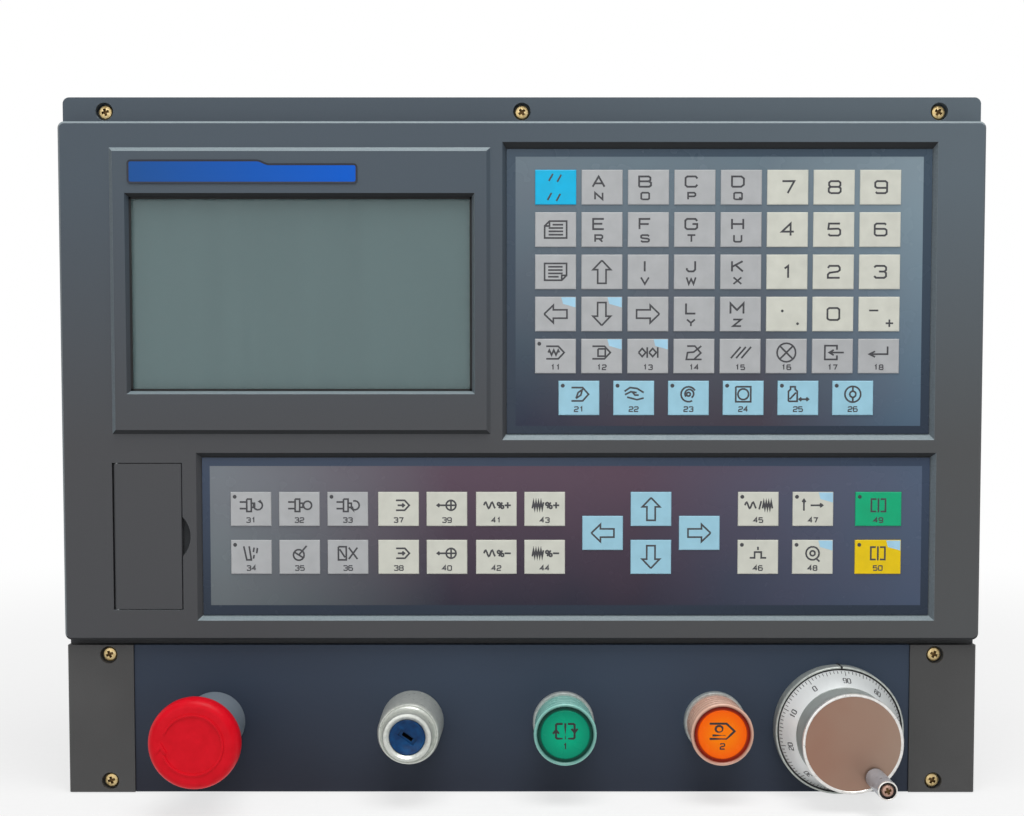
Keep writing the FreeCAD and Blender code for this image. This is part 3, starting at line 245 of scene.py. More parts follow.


# Painted reflection and light: the grained ABS is painted lighter and bluer towards the top, for the sky's
# reflection, and lighter towards the right, for the light on that side. The door takes it too.
place = new_finish("grained_abs")
grain = place.mottle(0.45, 3)
height = place.along("Z").ramp(0.0, 0.12)
aside = place.along("X").ramp(-0.02, 0.2) * 0.7
low, high = aside.between(tone("#424346"), tone("#4e5051")), aside.between(tone("#444f59"), tone("#5c6870"))
grained_abs = finished(place, height.between(low, high), 0.42 + 0.2 * grain, grain, 0.02, Specular_IOR_Level=0.35)
# Painted highlight on faces turned up and on faces turned left, and painted shade, dark and matt, on faces turned
# down and in the finger notch.
left_highlight_abs = mottled("left_highlight_abs", "#5c656b", "#6c767c", 0.8, 0.3)
top_highlight_abs = mottled("top_highlight_abs", "#76848a", "#879499", 0.8, 0.28)
painted_shade_abs = mottled("painted_shade_abs", "#26282a", "#303235", 0.6, 0.6, 0.2, Specular_IOR_Level=0.25)
UPPER_SCREWS = [(-191, 153.6), (0, 153.6), (191, 153.6)]
UPPER_SEAT, SLANT, NOTCH = 2.0, 0.35, (-153.0, -40.65)
shape = softened(worked(carried("front_bezel"), *seats(UPPER_SCREWS, UPPER_SEAT)), 0.6, 3)
# Faces turned to the front take these by their normal: up the brightest painted highlight, left a fainter one, down
# and the finger notch the painted shade.
for face in shape.faces:
    spot, normal = face.calc_center_median() / MM, face.normal
    notched = abs(spot.x - NOTCH[0]) < 3 and abs(spot.z - NOTCH[1]) < 10 and 12 < -spot.y < 15.2
    if normal.y < -0.1:
        left_lit = 1 if normal.x < -SLANT else 0
        face.material_index = 2 if normal.z > SLANT else 3 if normal.z < -SLANT or notched else left_lit
front_finishes = [grained_abs, left_highlight_abs, top_highlight_abs, painted_shade_abs]
piece("moulded_front", shape, front_finishes, "panel", "bezel_plastic", "front_bezel")


# ---- Fixing screws ----
# Seven M4 pan-head screws with a cross recess, steel with yellow zinc plating.
# They are headed and rolled, and sit in the sunk seats of the upper strip and the end caps.
def block(left, right, back, front, low, high):
    """A plain block between six faces, in millimetres."""
    shape = bmesh.new()
    bmesh.ops.create_cube(shape, size=1.0)
    middle = Vector((left + right, -back - front, low + high)) * MM / 2
    size = Vector((right - left, front - back, high - low)) * MM
    bmesh.ops.transform(shape, matrix=Matrix.Translation(middle) @ Matrix.Diagonal((*size, 1)), verts=shape.verts)
    return shape


def joined(shapes):
    """Several shapes in one."""
    whole = bmesh.new()
    for shape in shapes:
        mesh = as_mesh(shape)
        whole.from_mesh(mesh)
        bpy.data.meshes.remove(mesh)
    return whole


def moved(shape, right=0.0, forward=0.0, up=0.0, turn=0.0):
    """Turns a shape round its own forward axis in degrees, anticlockwise, then moves it, in millimetres."""
    matrix = Matrix.Translation(Vector((right, -forward, up)) * MM) @ Matrix.Rotation(-math.radians(turn), 4, "Y")
    bmesh.ops.transform(shape, matrix=matrix, verts=shape.verts)
    return shape


def painted(shape, number, chosen=lambda spot: True):
    """Gives the finish of that number to the faces whose middle, in millimetres, is chosen."""
    for face in shape.faces:
        if chosen(face.calc_center_median() / MM):
            face.material_index = number
    return shape


def off_axis(spot, centre=(0, 0)):
    """How far a place lies from a device's axis, in millimetres."""
    return math.hypot(spot.x - centre[0], spot.z - centre[1])


def screw(radius, height, recess):
    """A pan-head screw's head on the origin, with its cross recess. The recess is its second finish."""
    dome = [(0, height), (radius * 0.5, height * 0.98), (radius * 0.8, height * 0.84), (radius * 0.96, height * 0.5)]
    head = turned((0, 0), [(0, 0), (radius, 0), (radius, height * 0.2)] + dome[::-1], 36)
    arm, foot = recess * 0.36, height * 0.3
    bars = [(recess, arm), (arm, recess)]
    head = worked(head, *[block(-wide, wide, foot, height + 1, -tall, tall) for wide, tall in bars])
    return painted(
        head, 1, lambda spot: off_axis(spot) < recess * 1.05 and foot * 0.9 < -spot.y < height * 0.93
    )


def plated(name, pale, dark, rough=0.34, metal=1.0, size=1.6):
    """Plated or turned metal with faint stains of about that size."""
    return mottled(name, dark, pale, size, rough, 0.14, 0.01, Metallic=metal)


yellow_zinc = plated("yellow_zinc", "#ecd6a4", "#b89c62", 0.36, 0.8)
# Painted shade: the cross recesses take a dark brown finish for the shade inside them.
recess_shade = plated("recess_shade", "#86683a", "#543c1a", 0.5, 0.6)
CAP_SCREWS = [(x, z) for x in (-191, 191) for z in (-95.8, -154.8)]
CAP_SEAT = 7.5
screws = []
for seat, turn, spots in ((UPPER_SEAT, 20, UPPER_SCREWS), (CAP_SEAT, 55, CAP_SCREWS)):
    for x, z in spots:
        screws.append(moved(screw(3.5, 2.4, 1.7), x, seat, z, turn + (x + z) / 9))
        screws.append(turned((x, z), [(0, -6.5), (1.5, -6.5), (1.9, -6.0), (1.9, seat), (0, seat)], 20))
piece("fixing_screws", joined(screws), [yellow_zinc, recess_shade], "panel", "steel")


# ---- Badge plate ----
# Thin metal plate above the display, enamelled blue inside a dark rim.
# It is stamped with a step in its upper edge and stuck into place on the display frame.
def plate(corners, back, front):
    """A flat plate whose outline has those (x, z) corners."""
    shape = bmesh.new()
    face = shape.faces.new([shape.verts.new((x * MM, -back * MM, z * MM)) for x, z in corners])
    grown = bmesh.ops.extrude_face_region(shape, geom=[face])["geom"]
    raised = [part for part in grown if isinstance(part, bmesh.types.BMVert)]
    bmesh.ops.translate(shape, verts=raised, vec=(0, (back - front) * MM, 0))
    bmesh.ops.recalc_face_normals(shape, faces=shape.faces)
    return shape


corners = [(-178.2, 119.3), (-74.2, 119.3), (-74.2, 128.3), (-115.4, 128.3), (-118.1, 130.0), (-178.2, 130.0)]
shape = plate(corners, 17.2, 17.65)
upright = [edge for edge in shape.edges if abs(edge.verts[0].co.y - edge.verts[1].co.y) > 0.1 * MM]
bevelled(shape, upright, 1.6, 4)
front = min(shape.faces, key=lambda face: (round(face.calc_center_median().y, 7), -face.calc_area()))
bmesh.ops.inset_region(shape, faces=[front], thickness=0.85 * MM, depth=-0.12 * MM)
front.material_index = 1
place = new_finish("blue_enamel")
# Painted shade: the enamel is painted darker and greyer towards its left end.
sweep = place.along("X").ramp(-0.18, -0.08)
haze = place.mottle(9)
blue_enamel = finished(
    place, sweep.between(tone("#194f92"), tone("#005ac6")), 0.3 + 0.1 * haze, haze, 0.004, Specular_IOR_Level=0.15
)
dark_rim = plated("dark_rim", "#061026", "#030a1a", 0.5, 0.0)
piece("badge", shape, [dark_rim, blue_enamel], "panel", "badge", "badge_plate")


# ---- Display ----
# Clear acrylic window over a liquid crystal cell that is switched off, in its steel frame.
# The polariser is a stretched film, so its greenish grey shows faint upright streaks under the window's gloss.
place = new_finish("polariser")
streaks = place.mottle(7, 2, (1.0, 1.0, 0.03))
cloud = place.mottle(60)
off = streaks.between(tone("#62797b"), tone("#6b8284"))
polariser = finished(place, (cloud * 0.25).between(off, tone("#70888a")), 0.3 + 0.08 * streaks)
place = new_finish("clear_window")
smear = place.mottle(22, 3, (1.0, 1.0, 0.3))
clear_window = finished(
    place, smear.between(tone("#5d7475"), tone("#627a7b")), 0.1 + 0.08 * smear, Alpha=0.2, IOR=1.49
)
rolled_steel = plated("rolled_steel", "#b9bcbe", "#8f9294", 0.35)


def dress(node, finish):
    """Gives a CAD node that keeps its own shape a finish."""
    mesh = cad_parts[node].data
    mesh.materials.clear()
    mesh.materials.append(finish)


dress("display_window", clear_window)
dress("display_glass_cell", polariser)
dress("display_module_frame", rolled_steel)
# Painted shadow: black strips inside the window's edge stand for the shadow that its walls cast on the screen.
shadow_strip_black = mottled("shadow_strip_black", "#0c0d0e", "#1a1b1c", 0.6, 0.7, 0.2, 0.02)
left, right, low, high = -178.2, -22.8, 26.0, 113.6
band, back, front = 0.9, 14.15, 14.6
shadow_strips = [block(edge, edge + band, back, front, low, high) for edge in (left, right - band)]
shadow_strips += [block(left, right, back, front, edge, edge + band) for edge in (low, high - band)]
piece("window_shadow_strips", joined(shadow_strips), shadow_strip_black, "panel", "black_plastic")


# ---- Data keypad ----
# Polyester film, printed on its back and embossed over the keys, bonded to the ledge of its bed.
# A navy border frames a paler field, and each key is a square-cornered field of its own colour.
def slab(left, right, low, high, back, front, edge):
    """A flat block with its front edges rounded."""
    shape = block(left, right, back, front, low, high)
    return bevelled(shape, [e for e in shape.edges if all(v.co.y < (-front + 0.01) * MM for v in e.verts)], edge)


def film_finish(name, field, edge_tones, *field_tones):
    """Printed film, a border round a paler field, with a painted reflection of the room over it: border and field
    grow paler upwards, the field drifts in tone along its length, and soft magenta clouds lie on it. Tone pairs go
    upwards, at its left end, middle and right end.
    """
    centre_x, centre_z, half_width, half_height = (size * MM for size in field)
    place = new_finish(name)
    across, up = place.along("X"), place.along("Z")
    inside = across.near(centre_x, half_width) * up.near(centre_z, half_height)
    rise = up.ramp(centre_z - half_height, centre_z + half_height)
    run = across.ramp(centre_x - half_width, centre_x + half_width)
    left, middle, right = (rise.between(tone(low), tone(high)) for low, high in field_tones)
    reflection_drift = run.ramp(0.6, 1.0).between(run.ramp(0.02, 0.34).between(left, middle), right)
    field_with_reflection = (place.mottle(34, 1) * 0.12).between(reflection_drift, tone("#644250"))
    border = rise.between(tone(edge_tones[0]), tone(edge_tones[1]))
    smear = place.mottle(12)
    return finished(place, inside.between(border, field_with_reflection), 0.22 + 0.08 * smear, Specular_IOR_Level=0.25)


def key_finish(name, code):
    """Printed colour of a key, a little uneven, under the film's gloss."""
    place = new_finish(name)
    wear = place.mottle(6, 3)
    worn = [c * 0.88 for c in tone(code)[:3]] + [1.0]
    colour = wear.between(worn, tone(code))
    return finished(place, colour, 0.28 + 0.12 * wear, wear, 0.008, Specular_IOR_Level=0.3)


data_film = film_finish(
    "data_film", (89.75, 71.0, 92.6, 61.0), ("#263242", "#3d4d5c"),
    ("#0a2038", "#6a7b85"), ("#383642", "#697c87"), ("#4c6378", "#869aa4"),
)
FILM_BACK, FILM_FACE, FILM_EDGE = 12.4, 12.9, 0.15
sheet = slab(-6.95, 186.35, 6.3, 135.5, FILM_BACK, FILM_FACE, FILM_EDGE)
piece("data_film_sheet", sheet, data_film, "panel", "film", "data_keypad_film")
key_tones = {
    "cyan": "#00b9e8", "grey": "#b4b6b8", "cream": "#d5d6cb",
    "sky": "#9fcfe2", "green": "#00ad78", "yellow": "#efcc00",
}
key_inks = [key_finish(f"key_{ink}", code) for ink, code in key_tones.items()]
KEY_FACE, KEY_WIDTH, KEY_REACH = 13.4, 18.7, 7.85


def key_pads(name, keys):
    """Raised key fields, each given as (x, z, width, colour)."""
    pads = []
    for x, z, width, ink in keys:
        half = width / 2
        pad = slab(x - half, x + half, z - KEY_REACH, z + KEY_REACH, FILM_FACE - 0.1, KEY_FACE, 0.35)
        pads.append(painted(pad, list(key_tones).index(ink)))
    piece(name, joined(pads), key_inks, "panel", "film")


COLUMNS = [15.35 + 21.07 * n for n in range(8)]
ROWS = [118.25 - 19.1 * n for n in range(5)]
MODES = [26.1 + 25.03 * n for n in range(6)]
MODE_ROW = 22.75
data_keys = [
    (x, z, KEY_WIDTH, "cream" if column > 4 and row < 4 else "grey")
    for row, z in enumerate(ROWS)
    for column, x in enumerate(COLUMNS)
]
data_keys[0] = (COLUMNS[0], ROWS[0], KEY_WIDTH, "cyan")
data_keys += [(x, MODE_ROW, KEY_WIDTH, "sky") for x in MODES]
key_pads("data_key_pads", data_keys)


def ring(x, z, radius, start=0, end=360, steps=14):
    """Points along an arc."""
    angles = [math.radians(start + (end - start) * n / steps) for n in range(steps + 1)]
    return [(x + radius * math.cos(a), z + radius * math.sin(a)) for a in angles]


def drawn(strokes, width, level):
    """Thin lines of ink along strokes of (x, z) points, on a face at that level."""
    line = bpy.data.curves.new("line", "CURVE")
    line.dimensions, line.bevel_depth, line.bevel_resolution, line.use_fill_caps = "2D", width / 2 * MM, 0, True
    line.fill_mode = "NONE"
    for stroke in strokes:
        spline = line.splines.new("POLY")
        spline.points.add(len(stroke) - 1)
        for point, (x, z) in zip(spline.points, stroke):
            point.co = (x * MM, z * MM, 0, 1)
    upright = Matrix.Rotation(math.radians(90), 4, "X")
    return as_shape(line, Matrix.Translation((0, -level * MM, 0)) @ Matrix.Diagonal((1, 0.12, 1, 1)) @ upright)


def as_shape(curve, matrix):
    """The shape of a curve, put in its place."""
    holder = placed("holder", curve)
    mesh = evaluated(holder)
    mesh.transform(matrix)
    shape = bmesh.new()
    shape.from_mesh(mesh)
    bpy.data.objects.remove(holder)
    bpy.data.meshes.remove(mesh)
    return shape


def shifted(strokes, x, z, scale=1.0):
    """Strokes drawn round a key's own middle, put on the key."""
    return [[(x + scale * a, z + scale * b) for a, b in stroke] for stroke in strokes]


GLYPHS = {
    "0": [[(-0.7, -1), (0.7, -1), (1, -0.75), (1, 0.75), (0.7, 1), (-0.7, 1), (-1, 0.75), (-1, -0.75), (-0.7, -1)]],
    "1": [[(-0.5, 0.55), (0.1, 1), (0.1, -1)]],
    "2": [
        [
            (-1, 0.65), (-0.75, 1), (0.75, 1), (1, 0.7), (1, 0.3), (0.7, 0.05), (-0.7, -0.15), (-1, -0.45),
            (-1, -1), (1, -1),
        ],
    ],
    "3": [
        [(-1, 0.75), (-0.7, 1), (0.7, 1), (1, 0.75), (1, 0.3), (0.7, 0.05), (-0.2, 0.05)],
        [(0.7, 0.05), (1, -0.2), (1, -0.75), (0.7, -1), (-0.7, -1), (-1, -0.7)],
    ],
    "4": [[(0.45, -1), (0.45, 1), (-1, -0.35), (1, -0.35)]],
    "5": [
        [(0.95, 1), (-0.9, 1), (-1, 0.1), (0.7, 0.15), (1, -0.1), (1, -0.75), (0.7, -1), (-0.7, -1), (-1, -0.75)],
    ],
    "6": [
        [
            (0.9, 0.8), (0.7, 1), (-0.7, 1), (-1, 0.75), (-1, -0.75), (-0.7, -1), (0.7, -1), (1, -0.75), (1, -0.1),
            (0.7, 0.12), (-1, 0.12),
        ],
    ],
    "7": [[(-1, 1), (1, 1), (-0.1, -1)]],
    "8": [
        [
            (-0.7, -1), (0.7, -1), (1, -0.75), (1, -0.2), (0.7, 0.05), (-0.7, 0.05), (-1, -0.2), (-1, -0.75),
            (-0.7, -1),
        ],
        [(-0.7, 0.05), (-0.95, 0.3), (-0.95, 0.75), (-0.65, 1), (0.65, 1), (0.95, 0.75), (0.95, 0.3), (0.7, 0.05)],
    ],
    "A": [[(-1, -1), (0, 1), (1, -1)], [(-0.65, -0.35), (0.65, -0.35)]],
    "B": [
        [(-1, -1), (-1, 1), (0.6, 1), (0.9, 0.75), (0.9, 0.3), (0.6, 0.05), (-1, 0.05)],
        [(0.6, 0.05), (1, -0.2), (1, -0.75), (0.7, -1), (-1, -1)],
    ],
    "C": [[(1, 0.6), (0.7, 1), (-0.7, 1), (-1, 0.7), (-1, -0.7), (-0.7, -1), (0.7, -1), (1, -0.6)]],
    "D": [[(-1, -1), (-1, 1), (0.55, 1), (1, 0.6), (1, -0.6), (0.55, -1), (-1, -1)]],
    "E": [[(0.9, 1), (-0.9, 1), (-0.9, -1), (0.9, -1)], [(-0.9, 0.05), (0.65, 0.05)]],
    "F": [[(0.9, 1), (-0.9, 1), (-0.9, -1)], [(-0.9, 0), (0.65, 0)]],
    "G": [
        [(1, 0.6), (0.7, 1), (-0.7, 1), (-1, 0.7), (-1, -0.7), (-0.7, -1), (0.7, -1), (1, -0.7), (1, 0), (0.2, 0)],
    ],
    "H": [[(-0.95, 1), (-0.95, -1)], [(0.95, 1), (0.95, -1)], [(-0.95, 0), (0.95, 0)]],
    "I": [[(0, 1), (0, -1)]],
    "J": [[(0.7, 1), (0.7, -0.65), (0.4, -1), (-0.4, -1), (-0.7, -0.65), (-0.7, -0.35)]],
    "K": [[(-0.9, 1), (-0.9, -1)], [(0.9, 1), (-0.9, -0.1)], [(-0.3, 0.25), (0.95, -1)]],
    "L": [[(-0.8, 1), (-0.8, -1), (0.8, -1)]],
    "M": [[(-1.1, -1), (-1.1, 1), (0, -0.3), (1.1, 1), (1.1, -1)]],
    "N": [[(-0.95, -1), (-0.95, 1), (0.95, -1), (0.95, 1)]],
    "P": [[(-0.9, -1), (-0.9, 1), (0.65, 1), (0.95, 0.7), (0.95, 0.2), (0.65, -0.1), (-0.9, -0.1)]],
    "S": [
        [
            (1, 0.65), (0.7, 1), (-0.7, 1), (-1, 0.75), (-1, 0.3), (-0.7, 0.08), (0.7, -0.08), (1, -0.3),
            (1, -0.75), (0.7, -1), (-0.7, -1), (-1, -0.65),
        ],
    ],
    "T": [[(-1, 1), (1, 1)], [(0, 1), (0, -1)]],
    "U": [[(-0.95, 1), (-0.95, -0.7), (-0.65, -1), (0.65, -1), (0.95, -0.7), (0.95, 1)]],
    "V": [[(-1, 1), (0, -1), (1, 1)]],
    "W": [[(-1.15, 1), (-0.6, -1), (0, 0.5), (0.6, -1), (1.15, 1)]],
    "X": [[(-1, 1), (1, -1)], [(-1, -1), (1, 1)]],
    "Y": [[(-1, 1), (0, 0), (1, 1)], [(0, 0), (0, -1)]],
    "Z": [[(-1, 1), (1, 1), (-1, -1), (1, -1)]],
}
GLYPHS["9"] = [[(-a, -b) for a, b in stroke] for stroke in GLYPHS["6"]]
GLYPHS["O"] = GLYPHS["0"]
GLYPHS["Q"] = GLYPHS["0"] + [[(0.3, -0.4), (1.05, -1.15)]]
GLYPHS["R"] = GLYPHS["P"] + [[(0.1, -0.1), (0.95, -1)]]


def spelled(text, x, z, width, height, pitch=1.4):
    """Strokes of plain figures or letters, the middle of the line at (x, z)."""
    strokes, signs = [], str(text)
    for n, sign in enumerate(signs):
        sized = [[(a * width / 2, b * height / 2) for a, b in stroke] for stroke in GLYPHS[sign]]
        strokes += shifted(sized, x + (n - (len(signs) - 1) / 2) * pitch * width, z)
    return strokes


UP = [[(0, 5.2), (4, 1), (1.9, 1), (1.9, -5.2), (-1.9, -5.2), (-1.9, 1), (-4, 1), (0, 5.2)]]
DOWN = [[(a, -b) for a, b in UP[0]]]
RIGHT = [[(b, a) for a, b in UP[0]]]
LEFT = [[(-b, a) for a, b in UP[0]]]
LINES = [[(-3.2, z), (3.4, z)] for z in (0.7, -0.8, -2.3)]
FOLDED = [(-5, 1.6), (-2.8, 3.8), (5, 3.8), (5, -3.8), (-5, -3.8), (-5, 1.6), (-2.8, 1.6), (-2.8, 3.8)]
SHEET_BACK = [FOLDED, [(-1.4, 2.2), (3.4, 2.2)]] + LINES
SHEET_ON = [[(-a, -b) for a, b in stroke] for stroke in SHEET_BACK]
CHEVRON = [[(-4.6, 3.1), (1.4, 3.1), (4.3, 0), (1.4, -3.1), (-4.6, -3.1)]]
WAVE = [[(-3.6 + 0.55 * n, 1.2 * math.sin(n * 1.57)) for n in range(11)]]
SQUARE = [[(-1.8, 1.8), (1.8, 1.8), (1.8, -1.8), (-1.8, -1.8), (-1.8, 1.8)]]
function_marks = [
    CHEVRON + WAVE,
    CHEVRON + SQUARE,
    [
        [(-4.6, 0), (-2.8, 2), (-1, 0), (-2.8, -2), (-4.6, 0)],
        [(-0.3, 2.6), (-0.3, -2.6)],
        [(0.6, 0), (2.4, 2), (4.2, 0), (2.4, -2), (0.6, 0)],
        [(4.9, 2.6), (4.9, -2.6)],
    ],
    [
        [(-3.4, 3.2), (0.4, 3.2), (3.4, -0.2), (0.2, -3.2)],
        [(3.6, 3.2), (-0.2, 0.2), (-3.2, 0), (-3.8, -3.4), (3.8, -3.4)],
    ],
    [[(-4.6, -2.8), (0.2, 2.8)], [(-2, -2.8), (2.8, 2.8)], [(0.6, -2.8), (5.4, 2.8)]],
    [[(-3, 3), (3, -3)], [(-3, -3), (3, 3)], ring(0, 0, 4.6, steps=20)],
    [
        [(2.2, 1.4), (2.2, 3.4), (-3.8, 3.4), (-3.8, -3.4), (2.2, -3.4), (2.2, -1.4)],
        [(5.6, 0), (-1.4, 0)],
        [(0.6, 1.3), (-1.6, 0), (0.6, -1.3)],
    ],
    [[(4.4, 3), (4.4, -0.8), (-4.2, -0.8)], [(-1.8, 0.6), (-4.6, -0.8), (-1.8, -2.2)]],
]
mode_marks = [
    [
        [(-3.6, 3.2), (1.8, 3.2), (4.6, 0), (1.8, -3.2), (-3.6, -3.2)],
        [(-1.4, -2), (-0.4, 0.8), (1.6, 2.2), (0.9, -0.4), (-1.4, -2)],
    ],
    [
        [(-4.4, 1.4), (-1.8, 3.2), (1.6, 2.8), (4.8, 0.8)],
        [(-4.2, -0.2), (-1.4, 1.2), (1.4, 0.8)],
        [(-3.2, -1.4), (1.6, -2.6), (4.8, -1.8)],
        [(-0.6, 1.0), (0.6, -0.4), (2.4, -0.4)],
    ],
    [ring(0, 0, 3.6, 30, 300), ring(0.4, 0.2, 2.1, -60, 220), ring(0, 0, 0.9)],
    [[(-3.6, 3.6), (3.6, 3.6), (3.6, -3.6), (-3.6, -3.6), (-3.6, 3.6)], ring(0, 0, 2.6)],
    [
        [
            (-4.6, -3.4), (-4.6, 1.4), (-3.6, 2.4), (-3.6, 3.6), (-1.4, 3.6), (-1.4, 2.4), (-0.4, 1.4),
            (-0.4, -3.4), (-4.6, -3.4),
        ],
        [(-4, -2.4), (-1, 0.8)],
        [(0.6, -2.4), (5, -2.4)],
        [(1.6, -1.6), (0.6, -2.4), (1.6, -3.2)],
        [(4, -1.6), (5, -2.4), (4, -3.2)],
    ],
    [ring(0, 0, 3.8, steps=20), ring(0, 0, 1.5, steps=10), [(0, 3.8), (0, 1.5)], [(0, -1.5), (0, -3.8)]],
]
strokes, digits, captions = [], [], []
for dx, dz in ((-2.2, 4.4), (1.6, 4.0), (-2.8, -4.2), (1.2, -4.6)):
    strokes += shifted([[(dx - 0.9, dz - 1.6), (dx + 0.9, dz + 1.6)]], COLUMNS[0], ROWS[0])
strokes += shifted(SHEET_BACK, COLUMNS[0], ROWS[1]) + shifted(SHEET_ON, COLUMNS[0], ROWS[2])
strokes += shifted(UP, COLUMNS[1], ROWS[2]) + shifted(DOWN, COLUMNS[1], ROWS[3])
strokes += shifted(LEFT, COLUMNS[0], ROWS[3]) + shifted(RIGHT, COLUMNS[2], ROWS[3])
letters = [(c, r) for r in range(4) for c in range(1, 5) if (c, r) not in ((1, 2), (1, 3), (2, 3))]
for n, (c, r) in enumerate(letters):
    digits += spelled(chr(ord("A") + n), COLUMNS[c] - 1.6, ROWS[r] + 2.5, 5.4, 4.6)
    strokes += spelled(chr(ord("N") + n), COLUMNS[c] - 1.5, ROWS[r] - 4.0, 3.6, 3.0)
for n, digit in enumerate("789456123"):
    digits += spelled(digit, COLUMNS[5 + n % 3] + 0.2, ROWS[n // 3], 5.4, 5.4)
digits += spelled(0, COLUMNS[6] + 0.2, ROWS[3], 5.4, 5.4)
DASH, CROSS = [(-4.6, 1.6), (-0.4, 1.6)], [[(3, -4.2), (6.4, -4.2)], [(4.7, -2.5), (4.7, -5.9)]]
strokes += shifted([DASH, *CROSS], COLUMNS[7], ROWS[3])
FUNCTION_ROW = ROWS[4]
for n, (x, mark) in enumerate(zip(COLUMNS, function_marks)):
    strokes += shifted(mark, x, FUNCTION_ROW + 1.6, 0.92)
    captions += spelled(11 + n, x, FUNCTION_ROW - 5.1, 1.7, 2.1)
for n, (x, mark) in enumerate(zip(MODES, mode_marks)):
    strokes += shifted(mark, x, MODE_ROW + 1.7, 0.95)
    captions += spelled(21 + n, x, MODE_ROW - 5.1, 1.7, 2.1)
legend_ink = mottled("legend_ink", "#2a2a2e", "#3c3c41", 3.5, 0.35)
LEGEND, STRONG, FINE = 0.8, 0.88, 0.54


def round_dot(x, z, radius=0.9):
    """A round spot of ink."""
    foot, rim, top = KEY_FACE - 0.1, KEY_FACE + 0.03, KEY_FACE + 0.05
    return turned((x, z), [(0, foot), (radius, foot), (radius, rim), (0, top)], 16)


def legends(name, inks, small_dots, lamps):
    """Print on the keys: strokes with their line width, small dots, and a lamp's dot in the corner of some keys."""
    prints = [drawn(strokes, width, KEY_FACE + 0.01) for strokes, width in inks]
    prints += [round_dot(x, z, 0.62) for x, z in small_dots] + [round_dot(x - 7.4, z + 5.6) for x, z in lamps]
    piece(name, joined(prints), legend_ink, "panel", "film")


points = [(COLUMNS[5] - 2.0, ROWS[3] + 1.4), (COLUMNS[5] + 5.0, ROWS[3] - 4.4)]
lamps = [(x, MODE_ROW) for x in MODES] + [(COLUMNS[0], FUNCTION_ROW)]
legends("data_legends", [(strokes, LEGEND), (digits, STRONG), (captions, FINE)], points, lamps)


def corner_tags(name, places):
    """Small corner fields that mark a key's second use, printed over the key's own colour."""
    flags = []
    for x, z in places:
        flag = [(x + 9.1, z + 7.6), (x + 2.6, z + 7.6), (x + 3.4, z + 4.6), (x + 9.1, z + 3.0)]
        flags.append(plate(flag, KEY_FACE, KEY_FACE + 0.02))
    piece(name, joined(flags), key_finish(name + "_ink", "#a9d6ee"), "panel", "film")


corner_tags("data_tags", [(COLUMNS[n], z) for n, z in ((0, ROWS[3]), (1, ROWS[3]), (1, ROWS[4]), (2, ROWS[4]))])


# ---- Machine keypad ----
# The same kind of film below, with the keys that move the machine: spindle, zero, override, arrows, feed and cycle.
# Its colour drifts from pale at its left end to dark in its middle, and to slate at its right end, a painted
# reflection of the room.
machine_film = film_finish(
    "machine_film", (20.2, -40.45, 163.3, 32.05), ("#243040", "#36445a"),
    ("#626c70", "#767e85"), ("#202032", "#574454"), ("#42526a", "#4e6178"),
)
sheet = slab(-146.7, 187.1, -77.1, -4.5, FILM_BACK, FILM_FACE, FILM_EDGE)
piece("machine_film_sheet", sheet, machine_film, "panel", "film", "machine_keypad_film")
UPPER, LOWER, MIDDLE, WIDE_KEY = -28.1, -50.2, -39.15, 21.2
machine_columns = [(x, "grey") for x in (-124.3, -102.1, -79.9)]
machine_columns += [(x, "cream") for x in (-56.6, -34.4, -11.7, 10.5, 108.5, 133.6)]
arrow_keys = [(59.3, UPPER, UP), (59.3, LOWER, DOWN), (37.1, MIDDLE, LEFT), (81.5, MIDDLE, RIGHT)]
machine_keys = [(x, z, KEY_WIDTH, ink) for x, ink in machine_columns for z in (UPPER, LOWER)]
machine_keys += [(x, z, KEY_WIDTH, "sky") for x, z, mark in arrow_keys]
machine_keys += [(163.6, UPPER, WIDE_KEY, "green"), (163.6, LOWER, WIDE_KEY, "yellow")]
key_pads("machine_key_pads", machine_keys)
CHUCK = [
    [(-5.4, 1.6), (-2, 1.6)],
    [(-5.4, -1.6), (-2, -1.6)],
    [(-2, 3), (-2, -3), (0.2, -3), (0.2, 3), (-2, 3)],
    [(0.2, 1), (1.8, 1), (1.8, -1), (0.2, -1)],
]
TURN = [ring(3.4, 0, 2.2, -110, 110, 8), [(1.6, -1.2), (2.6, -2.2), (2.2, -0.6)]]
FLIP = [ring(3.4, 0, 2.2, 70, -200, 8), [(4.8, 2.4), (4.0, 1.8), (5.0, 1.2)]]
ZIGZAG = [[(-6 + 0.6 * n, 1.5 if n % 2 else -1.5) for n in range(10)]]
CURLS = [[(-6 + 0.45 * n, 1.5 * math.sin(n * 0.9)) for n in range(13)]]
SHARE = [ring(1.2, 0.6, 0.7, steps=8), ring(2.9, -0.8, 0.7, steps=8), [(1.2, -1.4), (2.9, 1.4)]]
PLUS = [[(4, 0), (7, 0)], [(5.5, 1.5), (5.5, -1.5)]]
MINUS = [[(4, 0), (7, 0)]]
TARGET = [
    ring(2, 0, 2.4, steps=14),
    [(-4.6, 0), (4.8, 0)],
    [(2, 2.8), (2, -2.8)],
    [(-3.6, 0.8), (-4.6, 0), (-3.6, -0.8)],
]
BOXED = [
    [(-1.2, 2.4), (3, 2.4), (5.2, 0), (3, -2.4), (-1.2, -2.4)],
    [(-0.4, 0), (2.8, 0)],
    [(1.8, 0.9), (2.8, 0), (1.8, -0.9)],
]
DROPS = [
    [(-3.6, 3.4), (-2.2, -3.2), (0, -3.2), (-1.0, 3.4)],
    [(1.4, 2.8), (1.0, 0.6)],
    [(3, 2.6), (2.6, 0)],
    [(1.4, -0.8), (1.0, -2.6)],
]
GEAR = [ring(-0.4, -0.8, 2.6), [(-0.4, -0.8), (3.4, 3.6)], [(-2.6, 0.6), (1.8, -2.2)]]
